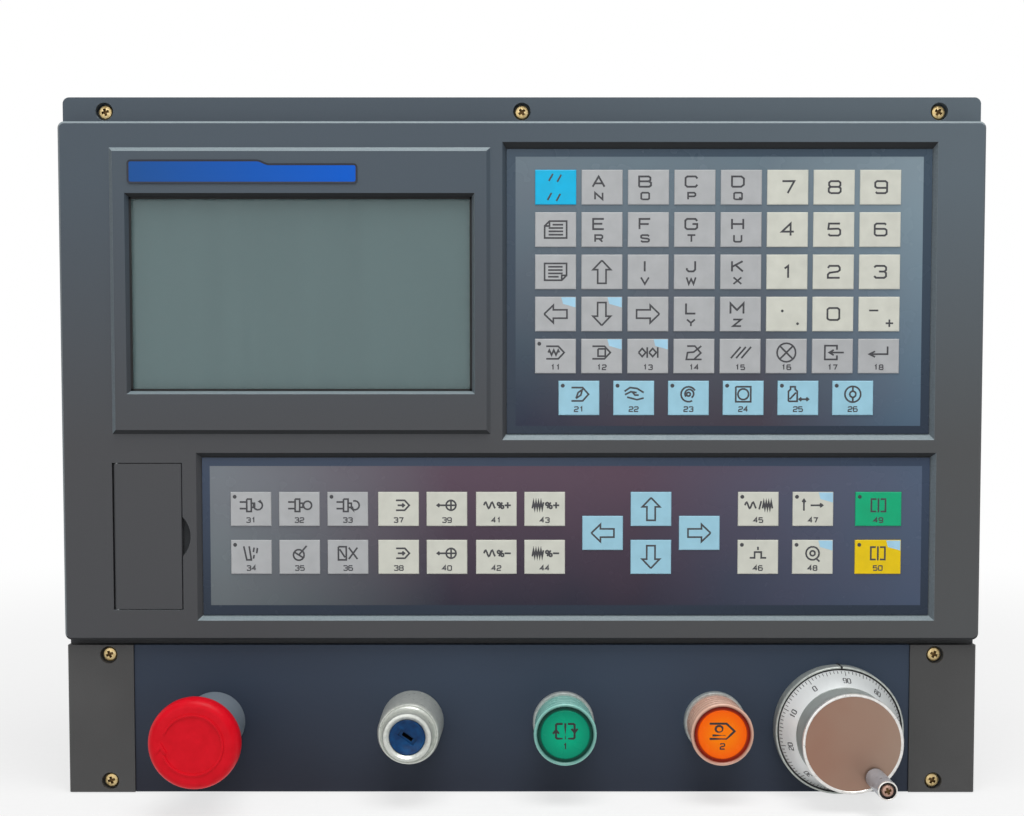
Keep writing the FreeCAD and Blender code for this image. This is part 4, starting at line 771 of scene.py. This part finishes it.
TURRET = [
    [(-4.6, 3.2), (-4.6, -3.2), (-0.8, -3.2), (-0.8, 3.2), (-4.6, 3.2)],
    [(-4, 2), (-1.4, -2)],
    [(0.4, 2.8), (4.6, -2.8)],
    [(4.6, 2.8), (0.4, -2.8)],
]
STEP = [[(-4, -2.2), (-1.6, -2.2), (-1.6, 0.6), (1.6, 0.6), (1.6, -2.2), (4, -2.2)], [(0, 3.2), (0, 1.6)]]
WHEEL = [ring(0, 0, 3.2), ring(0, 0, 1.2), [(1.8, -2.6), (3.4, -4)]]
AXES = [
    [(-4.4, -2.6), (-4.4, 2.8)],
    [(-5.2, 1.6), (-4.4, 2.8), (-3.6, 1.6)],
    [(-1.2, 0), (4.6, 0)],
    [(3.4, 0.9), (4.6, 0), (3.4, -0.9)],
]
CYCLE = [[(-1, 3), (-3.4, 3), (-3.4, -3), (-1, -3)], [(1, 3), (3.4, 3), (3.4, -3), (1, -3)], [(0, 3.4), (0, -3.4)]]
machine_marks = {
    (-124.3, UPPER): CHUCK + FLIP, (-102.1, UPPER): CHUCK + [ring(4, 0, 2)], (-79.9, UPPER): CHUCK + TURN,
    (-124.3, LOWER): DROPS, (-102.1, LOWER): GEAR, (-79.9, LOWER): TURRET,
    (-56.6, UPPER): BOXED, (-56.6, LOWER): BOXED, (-34.4, UPPER): TARGET, (-34.4, LOWER): TARGET,
    (-11.7, UPPER): CURLS + SHARE + PLUS, (-11.7, LOWER): CURLS + SHARE + MINUS,
    (10.5, UPPER): ZIGZAG + SHARE + PLUS, (10.5, LOWER): ZIGZAG + SHARE + MINUS,
    (108.5, UPPER): shifted(CURLS, -0.5, 0) + [[(0.4, -2), (1.4, 2)]] + shifted([ZIGZAG[0][:9]], 8, 0),
    (108.5, LOWER): STEP, (133.6, UPPER): AXES, (133.6, LOWER): WHEEL, (163.6, UPPER): CYCLE, (163.6, LOWER): CYCLE,
}
strokes, captions = [], []
for n, ((x, z), mark) in enumerate(machine_marks.items()):
    strokes += shifted(mark, x, z + 1.7, 0.95)
    captions += spelled(31 + n, x, z - 5.1, 1.7, 2.1)
for x, z, mark in arrow_keys:
    strokes += shifted(mark, x, z)
lamps = [(-124.3, UPPER), (-79.9, UPPER), (-124.3, LOWER)]
lamps += [(x, z) for z in (UPPER, LOWER) for x in (108.5, 133.6)] + [(162.4, UPPER), (162.4, LOWER)]
legends("machine_legends", [(strokes, LEGEND), (captions, FINE)], [], lamps)
corner_tags("machine_tags", [(133.6, UPPER), (133.6, LOWER), (164.8, LOWER)])


# ---- Keypad boards and switches ----
# Glass fibre boards behind the films carry a row of push switches under each row of keys.
# Their green resist is sprayed on, and the switches are black mouldings on the boards.
place = new_finish("green_resist")
weave = place.node("TexChecker", {"Vector": place, "Scale": 900.0}, output="Fac")
tracks = place.mottle(5, 4)
green_resist = finished(place, tracks.between(tone("#12452f"), tone("#1d6442")), 0.35 + 0.1 * tracks, weave, 0.01)
black_nylon_and_gap_shade = mottled("black_nylon_and_gap_shade", "#1d1e1f", "#2b2c2e", 0.8, 0.45, 0.2, 0.01)
for node in ("data_keypad_board", "machine_keypad_board", "main_board"):
    dress(node, green_resist)
for node in ("data_key_switches", "machine_key_switches", "board_components", "estop_push_rod"):
    dress(node, black_nylon_and_gap_shade)
dress("board_pillars", plated("turned_brass", "#d3b26b", "#a8843c"))


# ---- Port door ----
# Flat grained ABS door in line with the main face. It turns on a steel pin at its left edge.
# It is moulded in the front's material, and a finger notch beside it in the front lets it be pulled open.
piece("hinged_door", softened(carried("port_door"), 0.35), grained_abs, "door", "bezel_plastic", "port_door")
dress("port_door_pin", rolled_steel)
dress("port_socket", rolled_steel)
gold = plated("gold_flash", "#e0c070", "#b8933c", 0.25)


def contacts(x, z, face, across, count):
    """Black insert of a socket and its two rows of contacts, upright or across. They take its second finish."""
    half = [count * 1.4, 3.1] if across else [3.1, count * 1.4]
    parts = [slab(x - half[0], x + half[0], z - half[1], z + half[1], face - 0.1, face + 0.15, 0.1)]
    for row, number in ((-1, count), (1, count - 1)):
        for n in range(number):
            along, aside = (n - (number - 1) / 2) * 2.77, row * 1.42
            spot = (x + along, z + aside) if across else (x + aside, z + along)
            pin = turned(spot, [(0, face + 0.1), (0.55, face + 0.1), (0.55, face + 0.2), (0, face + 0.22)], 10)
            parts.append(painted(pin, 1))
    return parts


PORT = (-171.3, -40.65)
piece("port_contacts", joined(contacts(*PORT, -2.2, False, 5)), [black_nylon_and_gap_shade, gold], "panel", "black_plastic")


# ---- Housing, cover and connectors ----
# Zinc-plated steel box behind the front, its rear cover with ventilation slots screwed to the flange.
# Four drive sockets and the supply terminal stand through the cover, with screws, contacts and nuts of their own.
place = new_finish("zinc_sheet")
spangle = place.node("TexVoronoi", {"Vector": place, "Scale": 170.0}, output="Color").along("X")
rolled = place.mottle(1.2, 2, (0.03, 1.0, 1.0))
colour = spangle.between(tone("#9c9fa2"), tone("#abafb2"))
zinc_sheet = finished(place, colour, 0.36 + 0.14 * rolled, rolled, 0.004, Metallic=0.9)
for node in ("rear_housing", "rear_cover", "display_straps"):
    dress(node, zinc_sheet)
dress("drive_sockets", rolled_steel)
dress("supply_terminal", mottled("green_nylon", "#1f5a38", "#2c6f47", 2, 0.4, 0.15, 0.01))


def faced_back(shape):
    """Turns a shape that faces the operator half round the upright axis, so that it faces the cabinet."""
    bmesh.ops.rotate(shape, verts=shape.verts, cent=(0, 0, 0), matrix=Matrix.Rotation(math.pi, 3, "Z"))
    return shape


COVER_BACK, SOCKET_BACK, SOCKETS_Z = 83.2, 89.2, -36.0
DRIVE_SOCKETS = [-110 + 58 * n for n in range(4)]
edge_spots = [(x, z) for x in (-193.5, 0, 193.5) for z in (135.5, -76.5)] + [(-193.5, 29.5), (193.5, 29.5)]
pillar_spots = [(x, z) for x in (-157, 0, 157) for z in (102, -52)]
SMALL_HEAD = (2.9, 1.8, 1.6)
heads = [faced_back(moved(screw(*SMALL_HEAD), -x, COVER_BACK, z, x + z)) for x, z in edge_spots + pillar_spots]
piece("cover_screws", joined(heads), [rolled_steel, recess_shade], "panel", "steel")
jacks, inserts = [], []
for x in DRIVE_SOCKETS:
    inserts += [faced_back(part) for part in contacts(-x, SOCKETS_Z, SOCKET_BACK, True, 8)]
    for dx in (-16.6, 16.6):
        jack = [(0, COVER_BACK), (2.7, COVER_BACK), (2.7, 87.6), (1.4, 88.0), (1.4, 86.0), (0, 86.0)]
        jacks.append(faced_back(turned((-x - dx, SOCKETS_Z), jack, 6)))
piece("drive_contacts", joined(inserts), [black_nylon_and_gap_shade, gold], "panel", "black_plastic")
piece("jack_posts", joined(jacks), rolled_steel, "panel", "steel")
clamps = []
for n in range(5):
    x = 145 + (n - 2) * 8.0
    clamps.append(faced_back(moved(screw(2.5, 0.8, 1.7), -x, SOCKET_BACK, SOCKETS_Z + 2.6, 15 * n)))
    foot, top = SOCKET_BACK - 0.2, SOCKET_BACK + 0.05
    clamps.append(painted(faced_back(block(-x - 2.4, -x + 2.4, foot, top, SOCKETS_Z - 6.4, SOCKETS_Z - 2.6)), 1))
piece("supply_clamps", joined(clamps), [rolled_steel, black_nylon_and_gap_shade], "panel", "steel")


# ---- Switch panel ----
# Aluminium channel with a dark blue anodised face under the main unit, closed by a moulded cap at each end.
# The channel is extruded and its face satin, and the caps are grained like the front and plug into it.
place = new_finish("navy_anodised")
satin = place.mottle(0.5, 2, (0.15, 1.0, 1.0))
cloud = place.mottle(80)
# Painted light: the anodised face is painted lighter towards the top and the right.
painted_light = place.along("Z").ramp(-0.155, -0.108) * 0.55 + place.along("X").ramp(-0.15, 0.08) * 0.3 + cloud * 0.15
navy_anodised = finished(
    place, painted_light.between(tone("#1c1e2a"), tone("#364355")), 0.46 + 0.12 * satin, satin, 0.004, Specular_IOR_Level=0.25
)
channel = softened(carried("switch_panel_channel"), 0.3)
piece("channel", channel, navy_anodised, "panel", "navy_anodised", "switch_panel_channel")
place = new_finish("cap_abs")
grain = place.mottle(0.45, 3)
colour = place.mottle(40).between(tone("#434343"), tone("#4c4c4c"))
cap_abs = finished(place, colour, 0.45 + 0.2 * grain, grain, 0.02, Specular_IOR_Level=0.35)
for side in ("left", "right"):
    spots = [spot for spot in CAP_SCREWS if (spot[0] < 0) == (side == "left")]
    shape = worked(carried(f"{side}_end_cap"), *seats(spots, CAP_SEAT))
    piece(f"{side}_cap", softened(shape, 0.35), cap_abs, "panel", "cap_plastic", f"{side}_end_cap")


# ---- Emergency stop ----
# Red mushroom head on a bluish grey collar. It is pressed in, latches, and is turned to let go.
# Both are moulded. A raised arc with an arrowhead on the face shows which way to turn.
ESTOP = (-142.2, -127.1)
dress("estop_collar", mottled("collar_grey", "#6f7983", "#7b858e", 0.8, 0.38, 0.15, 0.004, 2))
stop_red = mottled("stop_red", "#d20018", "#de0820", 4, 0.36, 0.1, 0.004, Specular_IOR_Level=0.15)
edge = [(16.2 + 3.8 * math.sin(a * math.pi / 16), 57.0 + 4.5 * math.cos(a * math.pi / 16)) for a in range(9)]
underside = [(20, 54.0), (19.5, 52.4), (18.0, 51.5), (8.5, 51.5), (8.5, 19.0), (0, 19.0)]
head = turned(ESTOP, [(0, 61.2), (12.0, 61.35)] + edge + underside, 96)
arc = turned(ESTOP, [(12.6, 61.0), (13.6, 61.0), (13.6, 61.95), (12.6, 61.95), (12.6, 61.0)], 60, 318, 200)
corners = [(-16.4, -3.3), (-13.6, 1.2), (-10.9, -3.3), (-12.0, -3.9), (-13.6, -1.2), (-15.3, -3.9)]
arrow = plate(shifted([corners], *ESTOP)[0], 61.0, 61.9)
shape = joined([head, softened(arc, 0.12), softened(arrow, 0.1)])
piece("mushroom", shape, stop_red, "estop_head", "red_plastic", "estop_mushroom")


# ---- Key switch ----
# Stepped metal body with a blue rotor sunk in its lip. The slot in the rotor's face takes the key.
# The body is turned and satin chromed, and the rotor is moulded with a dished face.
KEY = (-50.7, -127.1)
PANEL_FACE = 10.7
satin_barrel = plated("satin_barrel", "#d6d8d2", "#bcc1ba", 0.26, 0.5)
body = [
    (14.5, PANEL_FACE), (14.5, 13.0), (14.0, 36.4), (13.6, 37.9), (13.2, 38.5), (12.9, 38.5), (12.6, 38.1),
    (12.2, 38.3), (11.5, 39.4), (11.1, 41.0), (10.9, 43.0), (10.9, 45.5), (10.6, 46.2), (10.0, 46.5), (9.4, 46.5),
    (8.7, 46.0), (8.05, 45.2), (8.05, 13.2), (4.0, 13.2), (4.0, PANEL_FACE), (14.5, PANEL_FACE),
]
piece("key_switch", turned(KEY, body, 96), satin_barrel, "panel", "chromed", "key_switch_body")
rotor_blue = mottled("rotor_blue", "#002450", "#00487c", 3, 0.16, 0.1, 0.004, Specular_IOR_Level=0.18)
black_print_and_shade = mottled("black_print_and_shade", "#08090a", "#141517", 1, 0.5, 0.2, detail=2)
dish = [(0, 13.25), (7.9, 13.25), (7.9, 45.3), (7.6, 45.5), (7.2, 45.4), (6.4, 44.9), (3.5, 44.6), (0, 44.5)]
recess = moved(block(-1.6, 1.6, 43.6, 47.0, -4.2, 4.2), KEY[0], 0, KEY[1], 55)
keyway = moved(block(-0.8, 0.8, 33.0, 44.5, -2.6, 2.6), KEY[0], 0, KEY[1], 55)
rotor = worked(turned(KEY, dish, 72), recess, keyway)
# Painted shade: the keyway's walls and floor take the black finish.
painted(rotor, 1, lambda spot: off_axis(spot, KEY) < 3.0 and 20 < -spot.y < 43.4)
tail = block(KEY[0] - 3, KEY[0] + 3, -8.0, 13.25, KEY[1] - 3, KEY[1] + 3)
piece("key_rotor", joined([rotor, tail]), [rotor_blue, black_print_and_shade], "key_rotor", "blue_plastic", "key_switch_rotor")


# ---- Push buttons ----
# Two lit buttons: a turned flange on the panel, a clear dyed ring with fine ribs, and a lens held out by a spring.
# Each lens is a moulded, dyed cap on its square tube, with painted shade round its edge and a painted glow over its
# lamp, which sheds no light.
GREEN, ORANGE = (19.3, -127.1), (89.3, -127.1)
flange_metal = plated("flange_metal", "#cdd2ce", "#adb3b0", 0.28, 0.5)


def dyed(name, centre, middle_code, edge_code, reach, rough=0.2, shine=0.4):
    """Clear dyed plastic, one colour on its axis and another at its edge; the change between them is painted light
    and shade.
    """
    place = new_finish(name)
    across = place.along("X") - centre[0] * MM
    up = place.along("Z") - centre[1] * MM
    far = (across * across + up * up).maths("SQRT").ramp(reach[0] * MM, reach[1] * MM)
    colour = far.between(tone(middle_code), tone(edge_code))
    return finished(place, colour, rough + 0.1 * place.mottle(5, 1), Specular_IOR_Level=shine)


ribs = []
for n in range(4):
    low, out = 17.0 + 4.6 * n, 0.12 * n
    ribs += [(13.35 + out, low), (13.35 + out, low + 3.2), (13.0 + out, low + 3.5), (13.0 + out, low + 4.3)]
flange = [(14.2, PANEL_FACE), (14.2, 14.2), (13.8, 14.8), (12.6, 14.8), (12.6, PANEL_FACE), (14.2, PANEL_FACE)]
lip = [(13.9, 36.0), (14.1, 38.6), (13.9, 39.6), (13.5, 40.0), (13.0, 40.0), (12.6, 39.7), (12.35, 39.0)]
bore = [(12.25, 31.2), (6.5, 31.2), (6.5, 14.8), (12.6, 14.8)]
collar = [(12.6, 14.8), (12.9, 14.8), (12.9, 16.4)] + ribs + lip + bore
shapes = []
for number, centre in enumerate((GREEN, ORANGE), 1):
    shapes += [turned(centre, flange, 96), painted(turned(centre, collar, 96), number)]
# Painted shade: each ring is dark round its bore and pale on its outer ribs.
ring_dyes = [
    flange_metal,
    dyed("ring_teal", GREEN, "#1f5a50", "#88c4b9", (12.3, 13.6)),
    dyed("ring_rose", ORANGE, "#8a3010", "#deb39d", (12.3, 13.6)),
]
piece("ribbed_rings", joined(shapes), ring_dyes, "panel", "chromed", "button_rings")
HALF_CYCLE = [
    [(-0.9, 3), (-2.9, 3), (-3.3, 2.6), (-3.3, -2.6), (-2.9, -3), (-0.9, -3)],
    [(-4.4, -1.0), (-3.3, 0.5), (-2.2, -1.0)],
]
CYCLE_MARK = HALF_CYCLE + shifted(HALF_CYCLE, 0, 0, -1) + [[(0, 3.3), (0, -3.3)]]
HOLD_MARK = CHEVRON + [ring(-1.2, 0.9, 1.3, steps=10), [(-3.6, -1.7), (1.0, -1.7)]]
CAP_FACE = 39.7
lenses = [
    ("start", "green_lens", GREEN, ("#00a87e", "#008a6a", "#023f34"), CYCLE_MARK),
    ("hold", "orange_lens", ORANGE, ("#ff8000", "#ff6400", "#8a1a00"), HOLD_MARK),
]
for number, (name, slot, centre, (middle, dye, rim), mark) in enumerate(lenses, 1):
    # Painted shade darkens each lens towards its edge, and a painted glow brightens each cap in its middle.
    dress(f"{name}_button_lens", dyed(f"{name}_edge_shade", centre, dye, rim, (10.0, 11.5), shine=0.15))
    cap = turned(centre, [(0, 38.8), (10.9, 38.8), (10.9, 39.3), (10.6, 39.6), (0, 39.75)], 72)
    lit = dyed(f"{name}_dye", centre, middle, dye, (4.0, 10.5), shine=0.12)
    piece(f"{name}_cap", cap, lit, f"{name}_lens", slot)
    marks = shifted([[(a * 1.25, b * 1.1 + 1.6) for a, b in stroke] for stroke in mark], *centre)
    figure = spelled(number, centre[0], centre[1] - 5.2, 1.9, 2.4)
    symbol = joined([drawn(marks, 0.95, CAP_FACE), drawn(figure, 0.55, CAP_FACE)])
    piece(f"{name}_symbol", symbol, black_print_and_shade, f"{name}_lens", "black_plastic")


# ---- Contact blocks and lamps ----
# Black nylon blocks behind the panel carry the contacts of each switch, and a lamp stands in each button's tube.
# They are moulded, clip to the switch necks and have two screw terminals at each end.
for node in ("estop_contact_block", "key_switch_contact_block", "button_contact_blocks"):
    dress(node, black_nylon_and_gap_shade)
dress("button_lamps", mottled("lamp_white", "#d8d6cc", "#e8e6dc", 2, 0.3, detail=2))
terminals = [
    faced_back(moved(screw(*SMALL_HEAD), -(x + dx), 26.8, ESTOP[1] + dz, dx * 3 + dz))
    for x in (ESTOP[0], KEY[0], GREEN[0], ORANGE[0])
    for dx in (-8, 8)
    for dz in (-14, 14)
]
piece("terminal_screws", joined(terminals), [rolled_steel, recess_shade], "panel", "steel")


# ---- Handwheel ----
# Fixed ring with an index line, a dial whose sloping face has a hundred lines, a knob, and a grip on a crank pin.
# Ring and wheel are turned aluminium, clear anodised, and the grip is free to spin on its shoulder screw.
WHEEL_AXIS = (145.5, -129.3)
CRANK_AXIS = ring(*WHEEL_AXIS, 17.5, -57, -57, 1)[0]
ring_metal = plated("ring_metal", "#c6cbc6", "#a2a8a3", 0.3, 0.5)
ring_profile = [
    (3.1, PANEL_FACE), (28.9, PANEL_FACE), (28.9, 12.6), (29.4, 13.4), (29.4, 20.2), (29.1, 20.6), (28.6, 20.6),
    (28.35, 20.3), (28.35, 19.2), (3.1, 19.2), (3.1, PANEL_FACE),
]
x, z = WHEEL_AXIS
housing = painted(softened(block(x - 15, x + 15, -26.0, PANEL_FACE, z - 15, z + 15), 0.6), 1)
# Painted shade: the ring's inner faces take the black finish, for the dark gap between ring and dial.
rim = painted(turned(WHEEL_AXIS, ring_profile, 128), 1, lambda spot: off_axis(spot, WHEEL_AXIS) < 28.5)
piece("fixed_ring", joined([rim, housing]), [ring_metal, black_nylon_and_gap_shade], "panel", "aluminium", "handwheel_base")
left, right, top = x + 0.15, x + 1.05, z + 29.46
index = [block(left, right, 10.9, 20.68, z + 28.9, top), block(left, right, 20.4, 20.68, z + 28.3, top)]
piece("index_line", joined(index), black_print_and_shade, "panel", "black_plastic")
# Painted sheen: the dial is painted paler towards its left side.
place = new_finish("turned_aluminium")
swirl = place.mottle(0.4, 2)
painted_sheen = place.along("X").ramp(0.119, 0.138, 1.0, 0.0) * 0.85 + swirl * 0.15
turned_aluminium = finished(
    place, painted_sheen.between(tone("#d6dada"), tone("#fafcfc")), 0.32 + 0.12 * swirl, swirl, 0.001, Metallic=0.15
)
# Painted shade and highlight: the knob's side is a darker copy of the metal, and its lip and the grip's rounded end a
# paler one.
shaded_knob_side = plated("shaded_knob_side", "#a3a9a6", "#8b918e", 0.32, 0.4)
lip_highlight = plated("lip_highlight", "#f0efec", "#d8d6d2", 0.25, 0.7)
place = new_finish("spun_face")
brush = place.mottle(0.5, 2, (0.08, 1.0, 1.0))
# Painted sheen: the knob's face turns paler and greyer towards the right.
face_sheen = place.along("X").ramp(0.123, 0.168) * 0.7 + place.mottle(16, 1) * 0.3
colour = face_sheen.between(tone("#946d5b"), tone("#9c8474"))
spun_face = finished(place, colour, 0.3 + 0.06 * brush, brush, 0.001, Metallic=0.5)
RIM_R, RIM_F, SLOPE = 27.8, 20.6, 60.0
dial = [
    (0, -20.0), (3.0, -20.0), (3.0, 19.5), (27.4, 19.5), (RIM_R, 19.9), (RIM_R, RIM_F), (21.85, 30.9), (21.6, 31.2),
    (21.7, 36.0), (22.1, 47.2), (22.4, 47.8), (22.4, 48.6), (22.1, 49.1), (21.7, 49.2), (21.2, 49.2), (21.0, 49.0),
    (0, 49.0),
]
wheel = painted(turned(WHEEL_AXIS, dial, 144), 1, lambda spot: -spot.y > 31.0)
painted(wheel, 2, lambda spot: -spot.y > 47.3)
painted(wheel, 3, lambda spot: -spot.y > 47.3 and off_axis(spot, WHEEL_AXIS) <= 21.0)
piece("dial_and_knob", wheel, [turned_aluminium, shaded_knob_side, lip_highlight, spun_face], "wheel", "aluminium", "handwheel")


def on_dial(shape, inward, angle):
    """Lays a shape on the dial's slope, so far in from its rim, at an angle from the right, anticlockwise."""
    slope = math.radians(SLOPE)
    spot = Vector((0, -RIM_F - inward * math.sin(slope), RIM_R - inward * math.cos(slope))) * MM
    axis = Matrix.Translation(Vector((WHEEL_AXIS[0], 0, WHEEL_AXIS[1])) * MM)
    turn, tilt = Matrix.Rotation(-math.radians(angle - 90), 4, "Y"), Matrix.Rotation(-slope, 4, "X")
    bmesh.ops.transform(shape, matrix=axis @ turn @ Matrix.Translation(spot) @ tilt, verts=shape.verts)
    return shape


ZERO_ANGLE = 122
marks = []
for n in range(100):
    length = 3.4 if n % 10 == 0 else 2.6 if n % 5 == 0 else 1.9
    marks.append(on_dial(block(-0.14, 0.14, -0.05, 0.05, -length, 0), 0.35, ZERO_ANGLE + 3.6 * n))
for n in range(10):
    marks.append(on_dial(drawn(spelled(10 * n, 0, 0, 1.35, 3.1), 0.46, 0.02), 7.2, ZERO_ANGLE + 36 * n))
piece("dial_lines", joined(marks), legend_ink, "wheel", "black_plastic")
grip_profile = [
    (2.05, 49.7), (3.95, 49.7), (3.95, 50.5), (4.3, 50.6), (4.3, 72.9), (4.15, 73.4), (3.95, 73.5), (3.7, 73.5),
    (3.55, 73.3), (3.5, 72.1), (2.05, 72.1), (2.05, 49.7),
]
grip_metal = plated("grip_metal", "#b8bdc4", "#989ca4", 0.24, 0.35, 5)
# Painted shade: the grip's bore and foot take the black finish, and its rounded end takes the lip's painted
# highlight.
grip = painted(turned(CRANK_AXIS, grip_profile, 64), 2, lambda spot: -spot.y > 72.95)
painted(grip, 1, lambda spot: off_axis(spot, CRANK_AXIS) < 3.6 or -spot.y < 50.55)
piece("free_grip", grip, [grip_metal, black_print_and_shade, lip_highlight], "grip", "aluminium", "crank_grip")
copper_steel = plated("copper_steel", "#c8a595", "#9c7868", 0.35, 0.6)
PIN_TOP = 72.15
pin_head = moved(screw(2.75, 1.5, 1.5), CRANK_AXIS[0], PIN_TOP, CRANK_AXIS[1], 20)
pin = turned(CRANK_AXIS, [(0, 43.2), (2.0, 43.2), (2.0, PIN_TOP), (0, PIN_TOP)], 32)
piece("shoulder_screw", joined([pin_head, pin]), [copper_steel, recess_shade], "wheel", "steel", "crank_pin")


# ---- Floor, light and camera ----
# Pale floor that the panel stands on, a white background, soft lamps from above the operator, and the view.
# The lamps are wide and gentle, so the colours come out about as they are written and the shadow stays soft.
def seen(place):
    """1 for the rays that show the background: straight to the camera, off gloss and through clear parts."""
    kinds = ("Is Camera Ray", "Is Glossy Ray", "Is Transmission Ray")
    direct, glossy, through = (place.node("LightPath", {}, output=kind) for kind in kinds)
    return direct + glossy + through


place = new_finish("pale_floor")
flat = place.node("VectorMath", {0: place, 1: (1.0, 1.0, 0.0)}, operation="MULTIPLY")
reach = flat.node("VectorMath", {0: flat}, operation="LENGTH", output="Value")
far = reach.node("MapRange", {0: reach, 1: 0.2, 2: 1.2, 3: 0.7, 4: 1.0}, interpolation_type="SMOOTHSTEP")
speck = place.mottle(3, 2)
paint = place.node("BsdfDiffuse", {"Color": speck.between(tone("#ececec"), tone("#f1f1f1"))})
white = place.node("Emission", {"Color": (1, 1, 1, 1), "Strength": 1.0})
surface = place.node("MixShader", {0: (seen(place) * far).maths("MINIMUM", 1.0), 1: paint, 2: white})
place.node("OutputMaterial", {"Surface": surface})
FLOOR_LEVEL = -160.4
shape = bmesh.new()
bmesh.ops.create_grid(shape, x_segments=2, y_segments=2, size=6.0)
bmesh.ops.translate(shape, verts=shape.verts, vec=(0, 0, FLOOR_LEVEL * MM))
floor = placed("floor", as_mesh(shape, "floor"))
floor.data.materials.append(place.finish)

world = bpy.data.worlds.new("room")
bpy.context.scene.world = world
world.use_nodes = True
world.node_tree.nodes.clear()
room = Pattern(world)
ambient = room.node("Background", {"Color": (1, 1, 1, 1), "Strength": 0.25})
backdrop = room.node("Background", {"Color": (1, 1, 1, 1), "Strength": 1.0})
room.node("OutputWorld", {"Surface": room.node("MixShader", {0: seen(room), 1: ambient, 2: backdrop})})

for name, spot, size, power in (
    ("lamp_above", (0.1, -0.5, 1.2), 0.9, 15.0),
    ("lamp_front", (-0.5, -1.6, 0.4), 1.4, 6.0),
):
    lamp = bpy.data.lights.new(name, "AREA")
    lamp.size, lamp.energy = size, power
    holder = placed(name, lamp)
    holder.location = spot
    holder.rotation_euler = Vector(spot).to_track_quat("Z", "Y").to_euler()

view = bpy.data.cameras.new("view")
view.lens, view.sensor_width, view.shift_x, view.shift_y = 54.035, 36.0, -0.00586, 0.0787
camera = placed("view", view)
camera.location = (-0.001755, -0.7171, 0.01865)
camera.rotation_euler = (math.radians(90 - 3.04), 0, 0)
bpy.context.scene.camera = camera
bpy.context.scene.view_settings.view_transform = "Standard"
